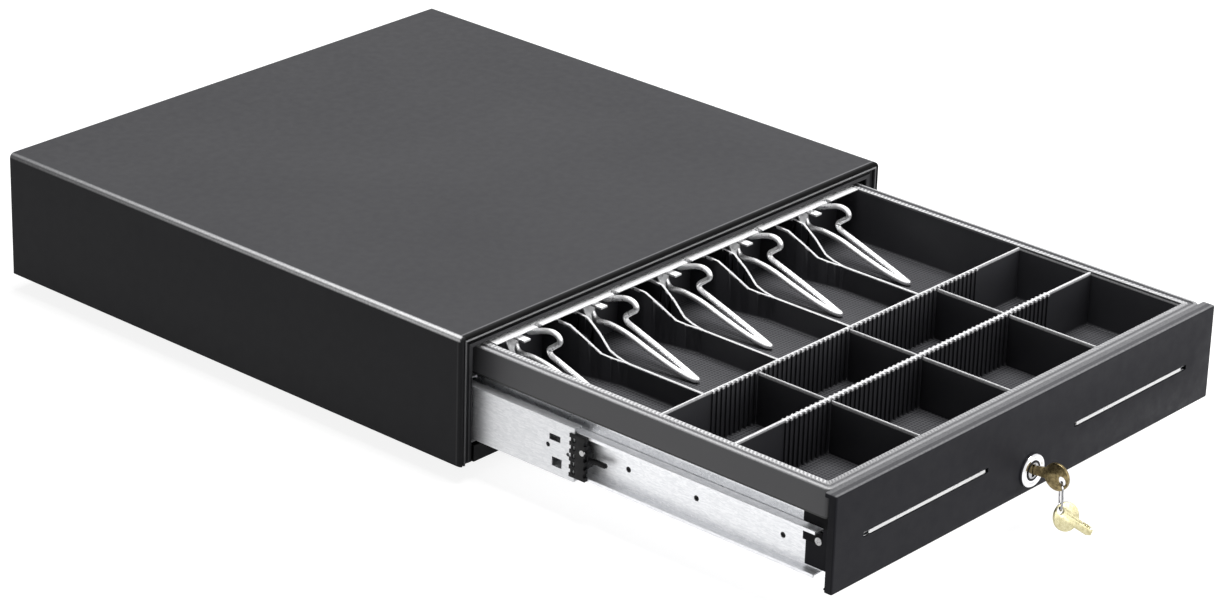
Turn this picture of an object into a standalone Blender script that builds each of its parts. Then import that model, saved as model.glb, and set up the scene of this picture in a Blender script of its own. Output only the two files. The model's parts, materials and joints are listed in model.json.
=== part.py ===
"""Cash drawer: a folded steel case, a sliding drawer on three-part ball slides, a money tray and its lock.

Lengths are metres. x is the width, y runs from front to back, z is up. The tables below measure y from the
case's front plane and z from the underside of the case; the root empty lifts all of it by the feet.
The drawer stands open, as in the photograph.
"""

import math

import bmesh
import bpy
from mathutils import Matrix, Vector

# Case
CASE_HALF = 0.205
CASE_DEPTH = 0.42
CASE_TOP = 0.088
SHEET = 0.001
CASE_BEND = 0.003
BEND_SEGMENTS = 2
SEAT = 0.0003
OVERLAP = 0.0005
CLEAR = 0.003
FRONT_RETURN = 0.0116
OPENING_HALF = CASE_HALF - FRONT_RETURN
OPENING_TOP = 0.078
COVER_FLANGE = 0.009
COVER_FLANGE_IN = CASE_HALF - COVER_FLANGE
RAIL_INSET = 0.0097
BASE_HALF = CASE_HALF - RAIL_INSET
LIP_HALF = OPENING_HALF - SEAT
LIP_TOP = 0.0112
RAIL_FRONT = 0.0015
RAIL_END_GAP = 0.0125
RAIL_BACK = CASE_DEPTH - RAIL_END_GAP
RAIL_TOP = 0.058
BACK_PANEL_DEPTH = 0.0115
JACK_SHARE = -0.585
JACK_X = JACK_SHARE * CASE_HALF
JACK_Z = 0.038
JACK_HOLE_RADIUS = 0.0058
JACK_BODY = (0.016, 0.014, 0.016)
JACK_BARREL_RADIUS = 0.0055
JACK_BORE_RADIUS = 0.0038
JACK_REACH = 0.0015
FOOT_HEIGHT = 0.012
FOOT_TOP_RADIUS = 0.010
FOOT_TREAD_RADIUS = 0.008
FOOT_INSET_X = 0.027
FOOT_INSET_Y = 0.028
FOOT_X = CASE_HALF - FOOT_INSET_X
FOOT_Y = (FOOT_INSET_Y, CASE_DEPTH - FOOT_INSET_Y)

# Drawer travel: it stands open by OPEN_TRAVEL, and shut its back stops short of the latch room
OPEN_TRAVEL = 0.284
LATCH_ROOM = 0.116
SHUT_BACK = CASE_DEPTH - LATCH_ROOM

# Slides: u is the distance from the case member's web toward the drawer, v the height from the slide's middle
SLIDE_INSET = 0.011
SLIDE_X = CASE_HALF - SLIDE_INSET
SLIDE_Z = 0.0325
OUTER_PATH = ((0.0094, 0.0207), (0.0094, 0.02285), (0, 0.02285))
OUTER_SHEET = 0.0012
OUTER_START = 0.006
OUTER_END_GAP = 0.016
OUTER_SPAN = (OUTER_START, CASE_DEPTH - OUTER_END_GAP)
MIDDLE_PATH = ((0.0089, 0.0163), (0.0089, 0.0181), (0.0022, 0.0181))
MIDDLE_SHEET = 0.001
MIDDLE_SHUT_START = 0.028
MIDDLE_TRAVEL_SHARE = 0.38732
MIDDLE_START = MIDDLE_SHUT_START - MIDDLE_TRAVEL_SHARE * OPEN_TRAVEL
MIDDLE_SHORTER = 0.05
MIDDLE_SPAN = (MIDDLE_START, MIDDLE_START + CASE_DEPTH - MIDDLE_SHORTER)
INNER_PATH = ((0.0056, 0.0151), (0.0056, 0.0141), (0.0127, 0.0141))
INNER_SHEET = 0.0012
INNER_FRONT_GAP = 0.016
INNER_START = -OPEN_TRAVEL + INNER_FRONT_GAP
INNER_SHORTER = 0.035
INNER_SPAN = (INNER_START, INNER_START + CASE_DEPTH - INNER_SHORTER)
OUTER_CAGE_PATH = ((0.0076, 0.0201), (0.0015, 0.0201))
INNER_CAGE_PATH = ((0.0078, 0.0158), (0.0035, 0.0158))
CAGE_SHEET = 0.0004
OUTER_CAGE_SPAN = (0.02, 0.2)
INNER_CAGE_SPAN = (-0.05, 0.1)
BALL_COUNT = 4
OUTER_BALL = (0.0054, 0.01988, 0.00145)
INNER_BALL = (0.0068, 0.0156, 0.00105)
BALL_SEGMENTS = 8
BALL_RINGS = 4
MIDDLE_WINDOWS = ((0.016, 0.039, 0.009, 0.004), (0.014, 0.023, 0.008, 0.006))
MIDDLE_HOLES = ((0.0215, 0.033, 0.0016), (0.005, 0.0315, 0.0013))
INNER_HOLES = (0.15, 0.096, 0.029)
INNER_HOLE_RADIUS = 0.0019
HOLE_SEGMENTS = 12
BUMPER_OUTLINE = ((-0.01, 0.027), (-0.01, 0.036), (-0.005, 0.0425), (0.0055, 0.0425), (0.0055, 0.0235),
                  (-0.006, 0.0235))
BUMPER_U = (0.0035, 0.0092)
BUMPER_PIN_TIP = -0.023
BUMPER_PIN_START = -0.006
BUMPER_PIN_RADIUS = 0.0012
BUMPER_PIN_U = 0.0065
BUMPER_PIN_Z = 0.0315

# Drawer panel and pan
PANEL_SIDE_GAP = 0.0019
PANEL_HALF = OPENING_HALF - PANEL_SIDE_GAP
PANEL_LOW = 0.012
PANEL_TOP = 0.0765
PANEL_SHEET = 0.0012
PANEL_DEPTH = 0.0085
SIDE_RETURN_DEPTH = 0.0055
PANEL_BEND = 0.0012
SLOT_INNER = 0.044
SLOT_INSET = 0.0275
SLOT_OUTER = PANEL_HALF - SLOT_INSET
SLOT_Z = 0.042
SLOT_HEIGHT = 0.0032
SLIDE_THICKNESS = 0.0127
PAN_HALF = SLIDE_X - SLIDE_THICKNESS - SEAT
TAB_X = (PAN_HALF + 0.0018, PAN_HALF + 0.0028)
TAB_OUTLINE = ((0.0006, 0.021), (0.027, 0.021), (0.027, 0.037), (0.0155, 0.037), (0.0128, 0.0616),
               (0.0006, 0.0616))
PAN_FRONT = -OPEN_TRAVEL + PANEL_SHEET + SEAT
PAN_BACK = SHUT_BACK - OPEN_TRAVEL
PAN_LOW = 0.0145
PAN_TOP = 0.0747
PAN_SHEET = 0.001
ROD_WINDOW_HALF = 0.02
ROD_WINDOW_HIGH = 0.015

# Tray
RIM_OVERHANG = 0.0063
RIM_HALF = PAN_HALF + RIM_OVERHANG
RIM_FRONT = -OPEN_TRAVEL + PANEL_DEPTH + SEAT
RIM_BACK_GAP = 0.0014
RIM_BACK = PAN_BACK - RIM_BACK_GAP
RIM_TOP = 0.0765
RIM_SHEET = 0.0015
SKIRT_LOW = 0.057
TRAY_SIDE_GAP = 0.0025
TRAY_INNER_HALF = PAN_HALF - TRAY_SIDE_GAP
TRAY_WALL = 0.0012
TRAY_FLOOR = 0.0393
TRAY_FLOOR_SHEET = 0.0018
TRAY_FRONT_GAP = 0.0168
TRAY_FRONT = -OPEN_TRAVEL + TRAY_FRONT_GAP
TRAY_REAR_GAP = 0.006
TRAY_REAR = PAN_BACK - TRAY_REAR_GAP
TRAY_LENGTH = TRAY_REAR - TRAY_FRONT
MID_WALL_SHARE = 0.255
COIN_WALL_SHARE = 0.4595
MID_WALL_Y = TRAY_FRONT + MID_WALL_SHARE * TRAY_LENGTH
COIN_WALL_Y = TRAY_FRONT + COIN_WALL_SHARE * TRAY_LENGTH
CROSS_WALL = 0.0016
CROSS_WALL_TOP = 0.0755
COMB_TOP = 0.0752
TOOTH_PITCH = 0.0089
TOOTH_WIDTH = 0.003
TOOTH_DEPTH = 0.0011
COMB_SHARE = 0.75
COIN_COLUMN_SHARES = (-0.5, 0, 0.5)
COIN_DIVIDER_SHEET = 0.0016
COIN_DIVIDER_TOP = 0.0745
BILL_DIVIDER_SHARES = (-0.6, -0.2, 0.2, 0.6)
BILL_WALL = 0.0014
BILL_WALL_TOP = 0.056
# The wedges at the back of the bill dividers: half width or height against the way from the tray's rear wall
WEDGE_OUTLINE = ((0.008, 0.0004), (0.008, -0.022), (0.003, -0.045), (0.0006, -0.0615))
WEDGE_SIDE = ((0.0004, 0.072), (-0.022, 0.072), (-0.045, 0.0575), (-0.063, 0.0555))
WALL_INTO_WEDGE = 0.059

# Bill clips: y is measured from the rod
ROD_GAP = 0.009
ROD_Y = TRAY_REAR - ROD_GAP
ROD_Z = 0.074
ROD_RADIUS = 0.002
ROD_HALF = TRAY_INNER_HALF - SEAT
CLIP_BAY_SHARES = (-0.8, -0.4, 0, 0.4, 0.8)
LEG_HALF_GAP = 0.00425
CLIP_WIRE_RADIUS = 0.0015
CLIP_RIGHT = ((0.0038, 0.0735), (0.0028, 0.0712), (0, 0.07), (-0.0038, 0.0712), (-0.01, 0.0737),
              (-0.0185, 0.0757), (-0.0245, 0.0743), (-0.0257, 0.0712), (-0.0215, 0.0678), (-0.0162, 0.0648),
              (-0.0172, 0.0612), (-0.024, 0.0594), (-0.045, 0.0554), (-0.0655, 0.0515), (-0.0705, 0.0465))
CLIP_TIP = (-0.072, 0.0427)
CLIP_LEFT = ((-0.0705, 0.043), (-0.0645, 0.0472), (-0.046, 0.0538), (-0.027, 0.0598), (-0.011, 0.0592),
             (-0.0005, 0.0582), (0.0036, 0.0625), (0.0041, 0.068), (0.0038, 0.0725))
SADDLE_OUTLINE = ((-0.0185, 0.0525), (-0.0155, 0.052), (-0.0125, 0.0605), (-0.0095, 0.052),
                  (-0.0068, 0.0525), (-0.0102, 0.0635), (-0.0068, 0.0715), (-0.0075, 0.0752),
                  (-0.018, 0.0752), (-0.0185, 0.0715), (-0.0148, 0.0635))
SADDLE_SHEET = 0.0012
SADDLE_ARM = (-0.0136, 0.0086)
SADDLE_ARM_Z = 0.0735
SADDLE_ARM_HALF = 0.003
SPRING_START = 0.0068
SPRING_PITCH = 0.0017
SPRING_CURLS = 5
SPRING_RADIUS = 0.0029
SPRING_WIRE_RADIUS = 0.0005
SPRING_TAIL = 0.0055
CURL_POINTS = 9
MILLIMETRES = 1000

# Lock and keys: y is measured from the panel's face
LOCK_Z = 0.027
BARREL_BACK = 0.0245
BEZEL_RADIUS = 0.011
BEZEL_FRONT = -0.0032
BEZEL_ROUND = 0.001
PLUG_BORE_RADIUS = 0.0066
PLUG_RADIUS = 0.0063
PLUG_SPAN = (-0.0026, 0.0265)
LOCK_HOLE_RADIUS = 0.0098
KEYWAY_HALF_THICK = 0.0014
KEYWAY_HALF_HIGH = 0.0042
KEYWAY_DEPTH = 0.0235
NUT_RADIUS = 0.0125
NUT_SPAN = (0.0028, 0.0068)
BODY_RADIUS = 0.0092
LOCK_ROD_HALF_WIDE = 0.0035
LOCK_ROD_HALF_THICK = 0.001
LOCK_ROD_BEYOND = 0.01
LOCK_CAM_RADIUS = 0.0065
LOCK_CAM_SPAN = (0.0045, 0.0085)
KEY_THICK = 0.002
BOW_RADIUS = 0.009
KEY_HALF = 0.0036
KEY_TIP = 0.0195
KEY_BOW = (-0.02, 0.029)
KEY_HOLE = (-0.024, 0.0277)
KEY_HOLE_RADIUS = 0.0028
KEY_NOTCH_SHARES = (0.26, 0.42, 0.58, 0.74)
NOTCH_HALF = 0.0011
NOTCH_DEPTH = 0.0014
BOW_SEGMENTS = 20
RING_WIRE_RADIUS = 0.0008
RING_RADIUS = 0.0088
SPARE_DROP = 0.0004
SPARE_BOW_RADIUS = 0.0085
SPARE_LENGTH = 0.0245
SPARE_AIM_SHARES = (0.724, -0.264, -0.637)
SPARE_HOLE_OFFSET = 0.0049
SPARE_HOLE_RADIUS = 0.003

# Latch: y is measured from the pan's back, as it stands with the drawer shut
LATCH_X = 0.03
STRIKE_SHEET = 0.0015
STRIKE_OUTLINE = ((0.0003, 0.018), (0.0025, 0.018), (0.0025, 0.021), (0.016, 0.021), (0.016, 0.039),
                  (0.0025, 0.039), (0.0025, 0.042), (0.0003, 0.042))
STRIKE_WINDOW = ((0.0065, 0.0245), (0.0135, 0.0245), (0.0135, 0.0355), (0.0065, 0.0355))
STRIKE_FOOT_HALF = 0.007
HOOK_PIN = (0.016, 0.036)
HOOK_Z = (0.0275, 0.0325)
HOOK_OUTLINE = ((0.0335, 0.0085), (0.0335, 0.0105), (0.0275, 0.0118), (0.0265, 0.027), (0.021, 0.0405),
                (0.013, 0.0418), (0.0085, 0.0395), (-0.0005, 0.0392), (-0.0005, 0.0328), (0.0085, 0.0325),
                (0.0125, 0.0305), (0.0195, 0.028), (0.0215, 0.01), (0.0235, 0.0082))
HOOK_BORE_RADIUS = 0.0027
HOOK_SLOT = ((0.001, 0.034), (0.0075, 0.034), (0.0075, 0.038), (0.001, 0.038))
PIN_RADIUS = 0.0022
PIN_COLLAR_RADIUS = 0.0045
PIN_HEAD = 0.0012
PLUNGER_X = 0.004
PLUNGER_RADIUS = 0.005
PLUNGER_SPAN = (0.0295, 0.062)
PLUNGER_SLOT_BACK = 0.0425
PLUNGER_CROSS_RADIUS = 0.0015
BRACKET_LOW = SHEET + SEAT
BRACKET_SHEET = 0.0015
BRACKET_FRONT = 0.018
BRACKET_BACK = 0.0465
BRACKET_TOP = 0.05
BRACKET_X = (-0.052, 0.066)
BRACKET_HOLE_RADIUS = 0.0062
SOLENOID_HALF = 0.015
SOLENOID_Z = (0.015, 0.045)
SOLENOID_SPAN = (0.0468, 0.085)
SOLENOID_WINDING_RADIUS = 0.0105
SOLENOID_YOKE = 0.003
SOLENOID_BORE_RADIUS = 0.0055
SOLENOID_BORE_BACK = 0.071
EJECTOR_X = -0.035
EJECTOR_Z = 0.036
EJECTOR_PIN_RADIUS = 0.0028
EJECTOR_HEAD_RADIUS = 0.0062
EJECTOR_HEAD_SPAN = (0.0025, 0.0045)
EJECTOR_WIRE_RADIUS = 0.0006
EJECTOR_RADIUS = 0.0048
EJECTOR_PITCH = 0.0042
EJECTOR_CURLS = 9
SWITCH_LOW = (0.046, 0.0195, 0.0031)
SWITCH_HIGH = (0.0525, 0.0395, 0.0135)
LEVER_PATH = ((0.024, 0.0127), (0.0185, 0.0159), (0.008, 0.0186), (0.0025, 0.0199), (0.0028, 0.0229))
LEVER_SHEET = 0.0008
LEVER_HALF = 0.002

WELD = 0.00001
ROUND_SEGMENTS = 24
SMOOTH_SEGMENTS = 2

BLACK_STEEL = (0.03, 0.03, 0.033)
ZINC = (0.62, 0.64, 0.66)
BLACK_PLASTIC = (0.02, 0.02, 0.022)
BRIGHT_STEEL = (0.72, 0.72, 0.74)
BRASS = (0.62, 0.5, 0.26)
FINISHES = {
    "powder": (BLACK_STEEL, 0.2, 0.5),
    "zinc": (ZINC, 0.9, 0.4),
    "plastic": (BLACK_PLASTIC, 0.0, 0.45),
    "bright": (BRIGHT_STEEL, 1.0, 0.25),
    "brass": (BRASS, 1.0, 0.35),
    "rubber": ((0.015, 0.015, 0.015), 0.0, 0.8),
    "coil": ((0.35, 0.12, 0.04), 0.3, 0.5),
}


def clear_scene():
    """Removes whatever the scene starts with."""
    for found in list(bpy.data.objects):
        bpy.data.objects.remove(found, do_unlink=True)


def collection(name):
    """A new collection linked to the scene."""
    made = bpy.data.collections.new(name)
    bpy.context.scene.collection.children.link(made)
    return made


def finish(name, kind):
    """A Principled material of its own for one piece."""
    colour, metallic, roughness = FINISHES[kind]
    made = bpy.data.materials.new(name)
    made.use_nodes = True
    shader = made.node_tree.nodes["Principled BSDF"]
    shader.inputs["Base Color"].default_value = (*colour, 1)
    shader.inputs["Metallic"].default_value = metallic
    shader.inputs["Roughness"].default_value = roughness
    return made


def empty(name, spot, parent):
    """An empty on a joint's axis, to which the pieces that turn or slide there are parented."""
    made = bpy.data.objects.new(name, None)
    PARTS.objects.link(made)
    made.empty_display_size = FOOT_HEIGHT
    made.parent = parent
    made.location = Vector(spot) - (SPOTS[parent.name] if parent else Vector())
    SPOTS[name] = Vector(spot)
    return made


def piece(made, name, kind, parent):
    """Names a finished solid, gives it its material and hangs it on its parent empty."""
    made.name = name
    made.data.name = name
    made.data.materials.clear()
    made.data.materials.append(finish(name, kind))
    PARTS.objects.link(made)
    made.parent = parent
    made.location = made.location - SPOTS[parent.name]
    return made


def mesh_object(name, points, faces):
    """A mesh object from points and faces."""
    data = bpy.data.meshes.new(name)
    data.from_pydata([tuple(point) for point in points], [], faces)
    return bpy.data.objects.new(name, data)


def block(low, high):
    """A box between two corners, with its origin in the middle."""
    low, high = Vector(low), Vector(high)
    made = bpy.data.objects.new("block", bpy.data.meshes.new("block"))
    form = bmesh.new()
    bmesh.ops.create_cube(form, size=1, matrix=Matrix.Diagonal((*(high - low), 1)))
    form.to_mesh(made.data)
    form.free()
    made.location = (low + high) / 2
    return made


def lid_off(low, high, missing):
    """The six sides of a box less the one that faces along the vector named missing."""
    made = block(low, high)
    form = bmesh.new()
    form.from_mesh(made.data)
    form.normal_update()
    doomed = [face for face in form.faces if face.normal.dot(Vector(missing)) > 0.5]
    bmesh.ops.delete(form, geom=doomed, context="FACES")
    form.to_mesh(made.data)
    form.free()
    return made


def bevel(made, width, segments=BEND_SEGMENTS):
    """Rounds the sharp edges of a solid."""
    rounding = made.modifiers.new("bend", "BEVEL")
    rounding.width = width
    rounding.segments = segments
    rounding.limit_method = "ANGLE"
    return made


def thicken(made, thickness):
    """Gives an open surface its sheet thickness, on the inner side."""
    sheet = made.modifiers.new("sheet", "SOLIDIFY")
    sheet.thickness = thickness
    sheet.offset = -1
    sheet.use_even_offset = True
    return made


def flat(plane, loops, low, high):
    """A flat plate: closed outlines in a plane such as xz, filled, from low to high along its normal."""
    axes = ["xyz".index(letter) for letter in plane]
    normal = next(axis for axis, letter in enumerate("xyz") if letter not in plane)
    first, second = (Matrix.Identity(3)[axis] for axis in axes)
    turn = Matrix((first, second, first.cross(second))).transposed()
    centre = Vector((0, 0, 0))
    centre[axes[0]], centre[axes[1]] = loops[0][0]
    centre[normal] = (low + high) / 2
    data = bpy.data.curves.new("flat", "CURVE")
    data.dimensions = "2D"
    data.fill_mode = "BOTH"
    data.extrude = (high - low) / 2
    for loop in loops:
        spline = data.splines.new("POLY")
        spline.points.add(len(loop) - 1)
        for point, (first, second) in zip(spline.points, loop):
            point.co = (first - centre[axes[0]], second - centre[axes[1]], 0, 1)
        spline.use_cyclic_u = True
    made = bpy.data.objects.new("flat", data)
    made.matrix_world = Matrix.Translation(centre) @ turn.to_4x4()
    return made


def tube(points, radius, cyclic=False, resolution=2):
    """A round bar or wire along a row of points."""
    data = bpy.data.curves.new("tube", "CURVE")
    data.dimensions = "3D"
    data.bevel_depth = radius
    data.bevel_resolution = resolution
    data.use_fill_caps = True
    start = Vector(points[0])
    spline = data.splines.new("POLY")
    spline.points.add(len(points) - 1)
    for target, point in zip(spline.points, points):
        target.co = (*(Vector(point) - start), 1)
    spline.use_cyclic_u = cyclic
    spline.use_smooth = True
    made = bpy.data.objects.new("tube", data)
    made.location = start
    return made


def turned(profile, centre, aim, steps=ROUND_SEGMENTS):
    """A turned piece: a profile of radius and distance along the aim, from the far end to the near end."""
    points = [(radius, 0, along) for radius, along in profile]
    edges = [(index, index + 1) for index in range(len(points) - 1)]
    data = bpy.data.meshes.new("turned")
    data.from_pydata(points, edges, [])
    made = bpy.data.objects.new("turned", data)
    screw = made.modifiers.new("turn", "SCREW")
    screw.steps = steps
    screw.render_steps = steps
    screw.use_merge_vertices = True
    screw.merge_threshold = WELD
    screw.use_smooth_shade = True
    made.rotation_euler = Vector(aim).to_track_quat("Z", "Y").to_euler()
    made.location = centre
    return made


def rod(start, end, radius, steps=ROUND_SEGMENTS):
    """A plain cylinder between two points."""
    start, end = Vector(start), Vector(end)
    length = (end - start).length
    return turned([(0, length), (radius, length), (radius, 0), (0, 0)], start, end - start, steps)


def solid(made):
    """The evaluated form of an object as a plain welded mesh in the same place."""
    STORE.objects.link(made)
    bpy.context.view_layer.update()
    seen = made.evaluated_get(bpy.context.evaluated_depsgraph_get())
    data = bpy.data.meshes.new_from_object(seen)
    form = bmesh.new()
    form.from_mesh(data)
    bmesh.ops.remove_doubles(form, verts=form.verts, dist=WELD)
    bmesh.ops.recalc_face_normals(form, faces=form.faces)
    form.to_mesh(data)
    form.free()
    welded = bpy.data.objects.new(made.name, data)
    welded.matrix_world = made.matrix_world.copy()
    bpy.data.objects.remove(made, do_unlink=True)
    return welded


def combine(made, tool, operation):
    """Joins a tool to a solid, or cuts with it. The tool is kept, hidden, in the cutters' collection."""
    if tool.type == "CURVE" or tool.modifiers:
        tool = solid(tool)
    tool.name = f"{operation.lower()}_tool"
    CUTTERS.objects.link(tool)
    tool.hide_render = True
    tool.display_type = "WIRE"
    place = tool.matrix_basis.copy()
    tool.parent = made
    tool.matrix_basis = made.matrix_basis.inverted() @ place
    change = made.modifiers.new(operation.lower(), "BOOLEAN")
    change.operation = operation
    change.solver = "EXACT"
    change.object = tool
    return made


def cut(made, tool):
    """Cuts a tool's form out of a solid."""
    return combine(made, tool, "DIFFERENCE")


def join(made, tool):
    """Joins a tool's form to a solid."""
    return combine(made, tool, "UNION")


def smoothed(points, steps=SMOOTH_SEGMENTS):
    """A smooth row of points through the given ones."""
    points = [Vector(point) for point in points]
    ends = [points[0] * 2 - points[1], *points, points[-1] * 2 - points[-2]]
    row = []
    for before, start, end, after in zip(ends, ends[1:], ends[2:], ends[3:]):
        for step in range(steps):
            share = step / steps
            pull = (end - before) / 2
            push = (after - start) / 2
            bend = 3 * (end - start) - 2 * pull - push
            turn = 2 * (start - end) + pull + push
            row.append(start + share * (pull + share * (bend + share * turn)))
    row.append(points[-1])
    return row


def coil(centre, aim, radius, pitch, curls):
    """Points along a helix about an axis through the centre."""
    turn = Vector(aim).to_track_quat("Z", "Y")
    count = round(curls * CURL_POINTS)
    row = []
    for index in range(count + 1):
        angle = 2 * math.pi * index / CURL_POINTS
        place = Vector((radius * math.cos(angle), radius * math.sin(angle), pitch * index / CURL_POINTS))
        row.append(Vector(centre) + turn @ place)
    return row


def print_gap(name, row, radius):
    """Measures a wound wire's least gap to itself, between points over half a curl apart, and prints it."""
    apart = CURL_POINTS // 2 + 1
    pairs = ((near, far) for index, near in enumerate(row) for far in row[index + apart:])
    gap = min((far - near).length for near, far in pairs) - 2 * radius
    print(f"{name}: least gap to itself {gap * MILLIMETRES:.2f} mm")


def circle(centre, radius, segments=HOLE_SEGMENTS):
    """A circle as a closed outline."""
    turns = [2 * math.pi * index / segments for index in range(segments)]
    return [(centre[0] + radius * math.cos(turn), centre[1] + radius * math.sin(turn)) for turn in turns]


def strip(path, thickness):
    """The closed outline of a bent sheet: the path is its outer face, and the sheet lies to the left of it
    or, where the thickness is negative, to the right."""
    path = [Vector(point) for point in path]
    inner = []
    for index, point in enumerate(path):
        sides = []
        if index > 0:
            sides.append((point - path[index - 1]).normalized())
        if index < len(path) - 1:
            sides.append((path[index + 1] - point).normalized())
        lefts = [Vector((-side.y, side.x)) for side in sides]
        mid = sum(lefts, Vector((0, 0))).normalized()
        inner.append(point + mid * (thickness / mid.dot(lefts[0])))
    return [tuple(point) for point in path] + [tuple(point) for point in reversed(inner)]


def channel(side, path, thickness, span):
    """A slide member: half of its section mirrored in height, drawn along one side of the case."""
    lower = [(u, -v) for u, v in reversed(path)]
    section = strip([*path, *lower], thickness)
    loop = [(side * (SLIDE_X - u), SLIDE_Z + v) for u, v in section]
    return flat("xz", [loop], *span)


def web_cutter(side, loop):
    """A tool through a slide member's web."""
    faces = sorted((side * (SLIDE_X + CLEAR), side * (SLIDE_X - MIDDLE_PATH[0][0] + CLEAR)))
    return flat("yz", [loop], *faces)


def rectangle(centre_y, centre_z, long, high):
    """A rectangle as a closed outline, from its middle and its sizes."""
    reach, rise = long / 2, high / 2
    return [(centre_y - reach, centre_z - rise), (centre_y + reach, centre_z - rise),
            (centre_y + reach, centre_z + rise), (centre_y - reach, centre_z + rise)]


def build_case():
    """The folded cover, the base with its front lip and slide rails, the back panel and the feet."""
    left, right, top, back = -CASE_HALF, CASE_HALF, CASE_TOP, CASE_DEPTH
    points = [
        (left, 0, 0), (-OPENING_HALF, 0, 0), (-OPENING_HALF, 0, OPENING_TOP), (OPENING_HALF, 0, OPENING_TOP),
        (OPENING_HALF, 0, 0), (right, 0, 0), (right, 0, top), (left, 0, top),
        (left, back, 0), (right, back, 0), (right, back, top), (left, back, top),
        (-COVER_FLANGE_IN, RAIL_FRONT, 0), (-COVER_FLANGE_IN, back, 0), (left, RAIL_FRONT, 0),
        (COVER_FLANGE_IN, RAIL_FRONT, 0), (COVER_FLANGE_IN, back, 0), (right, RAIL_FRONT, 0),
    ]
    faces = [(0, 1, 2, 3, 4, 5, 6, 7), (7, 6, 10, 11), (0, 7, 11, 8, 14), (5, 17, 9, 10, 6), (12, 14, 8, 13),
             (15, 16, 9, 17)]
    cover = thicken(bevel(mesh_object("cover", points, faces), CASE_BEND), SHEET)
    piece(cover, "case_cover", "powder", CASE)

    points = [
        (-LIP_HALF, 0, 0), (LIP_HALF, 0, 0), (LIP_HALF, RAIL_FRONT, 0), (BASE_HALF, RAIL_FRONT, 0),
        (BASE_HALF, RAIL_BACK, 0), (-BASE_HALF, RAIL_BACK, 0), (-BASE_HALF, RAIL_FRONT, 0),
        (-LIP_HALF, RAIL_FRONT, 0), (-LIP_HALF, 0, LIP_TOP), (LIP_HALF, 0, LIP_TOP),
        (BASE_HALF, RAIL_FRONT, RAIL_TOP), (BASE_HALF, RAIL_BACK, RAIL_TOP),
        (-BASE_HALF, RAIL_FRONT, RAIL_TOP), (-BASE_HALF, RAIL_BACK, RAIL_TOP),
    ]
    faces = [(7, 6, 5, 4, 3, 2, 1, 0), (0, 1, 9, 8), (3, 4, 11, 10), (5, 6, 12, 13)]
    piece(thicken(mesh_object("base", points, faces), SHEET), "case_base", "powder", CASE)

    inset = CASE_HALF - SHEET - SEAT
    low = (-inset, CASE_DEPTH - BACK_PANEL_DEPTH, SHEET + SEAT)
    high = (inset, CASE_DEPTH, CASE_TOP - SHEET - SEAT)
    back_panel = thicken(bevel(lid_off(low, high, (0, -1, 0)), PANEL_BEND), SHEET)
    hole = rod((JACK_X, CASE_DEPTH - CLEAR, JACK_Z), (JACK_X, CASE_DEPTH + CLEAR, JACK_Z), JACK_HOLE_RADIUS)
    piece(cut(back_panel, hole), "back_panel", "powder", CASE)

    for across, x in (("left", -FOOT_X), ("right", FOOT_X)):
        for along, y in zip(("front", "back"), FOOT_Y):
            top = FOOT_HEIGHT - SEAT
            profile = [(0, top), (FOOT_TOP_RADIUS, top), (FOOT_TREAD_RADIUS, 0), (0, 0)]
            foot = turned(profile, (x, y, -FOOT_HEIGHT), (0, 0, 1))
            piece(foot, f"foot_{along}_{across}", "rubber", CASE)


def build_jack():
    """The socket for the release cable, seated on the back panel."""
    wide, deep, high = JACK_BODY
    back = CASE_DEPTH - SHEET - SEAT
    body = block((JACK_X - wide / 2, back - deep, JACK_Z - high / 2),
                 (JACK_X + wide / 2, back, JACK_Z + high / 2))
    end = (JACK_X, CASE_DEPTH + JACK_REACH, JACK_Z)
    barrel = rod((JACK_X, back - OVERLAP, JACK_Z), end, JACK_BARREL_RADIUS)
    bore = rod((JACK_X, back - deep / 2, JACK_Z), (JACK_X, CASE_DEPTH + CLEAR, JACK_Z), JACK_BORE_RADIUS)
    piece(cut(join(body, barrel), bore), "jack_socket", "plastic", CASE)


def build_cage(side, name, path, span, ball, parent):
    """A ball cage: a thin channel with balls along its upper and lower strips."""
    u, v, radius = ball
    cage = solid(channel(side, path, CAGE_SHEET, span))
    form = bmesh.new()
    for index in range(BALL_COUNT):
        y = span[0] + (span[1] - span[0]) * (index + 0.5) / BALL_COUNT
        for height in (v, -v):
            spot = Matrix.Translation((side * (SLIDE_X - u), y, SLIDE_Z + height))
            bmesh.ops.create_uvsphere(form, u_segments=BALL_SEGMENTS, v_segments=BALL_RINGS, radius=radius,
                                      matrix=spot)
    balls = bpy.data.objects.new("balls", bpy.data.meshes.new("balls"))
    form.to_mesh(balls.data)
    form.free()
    piece(join(cage, balls), name, "bright", parent)


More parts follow.
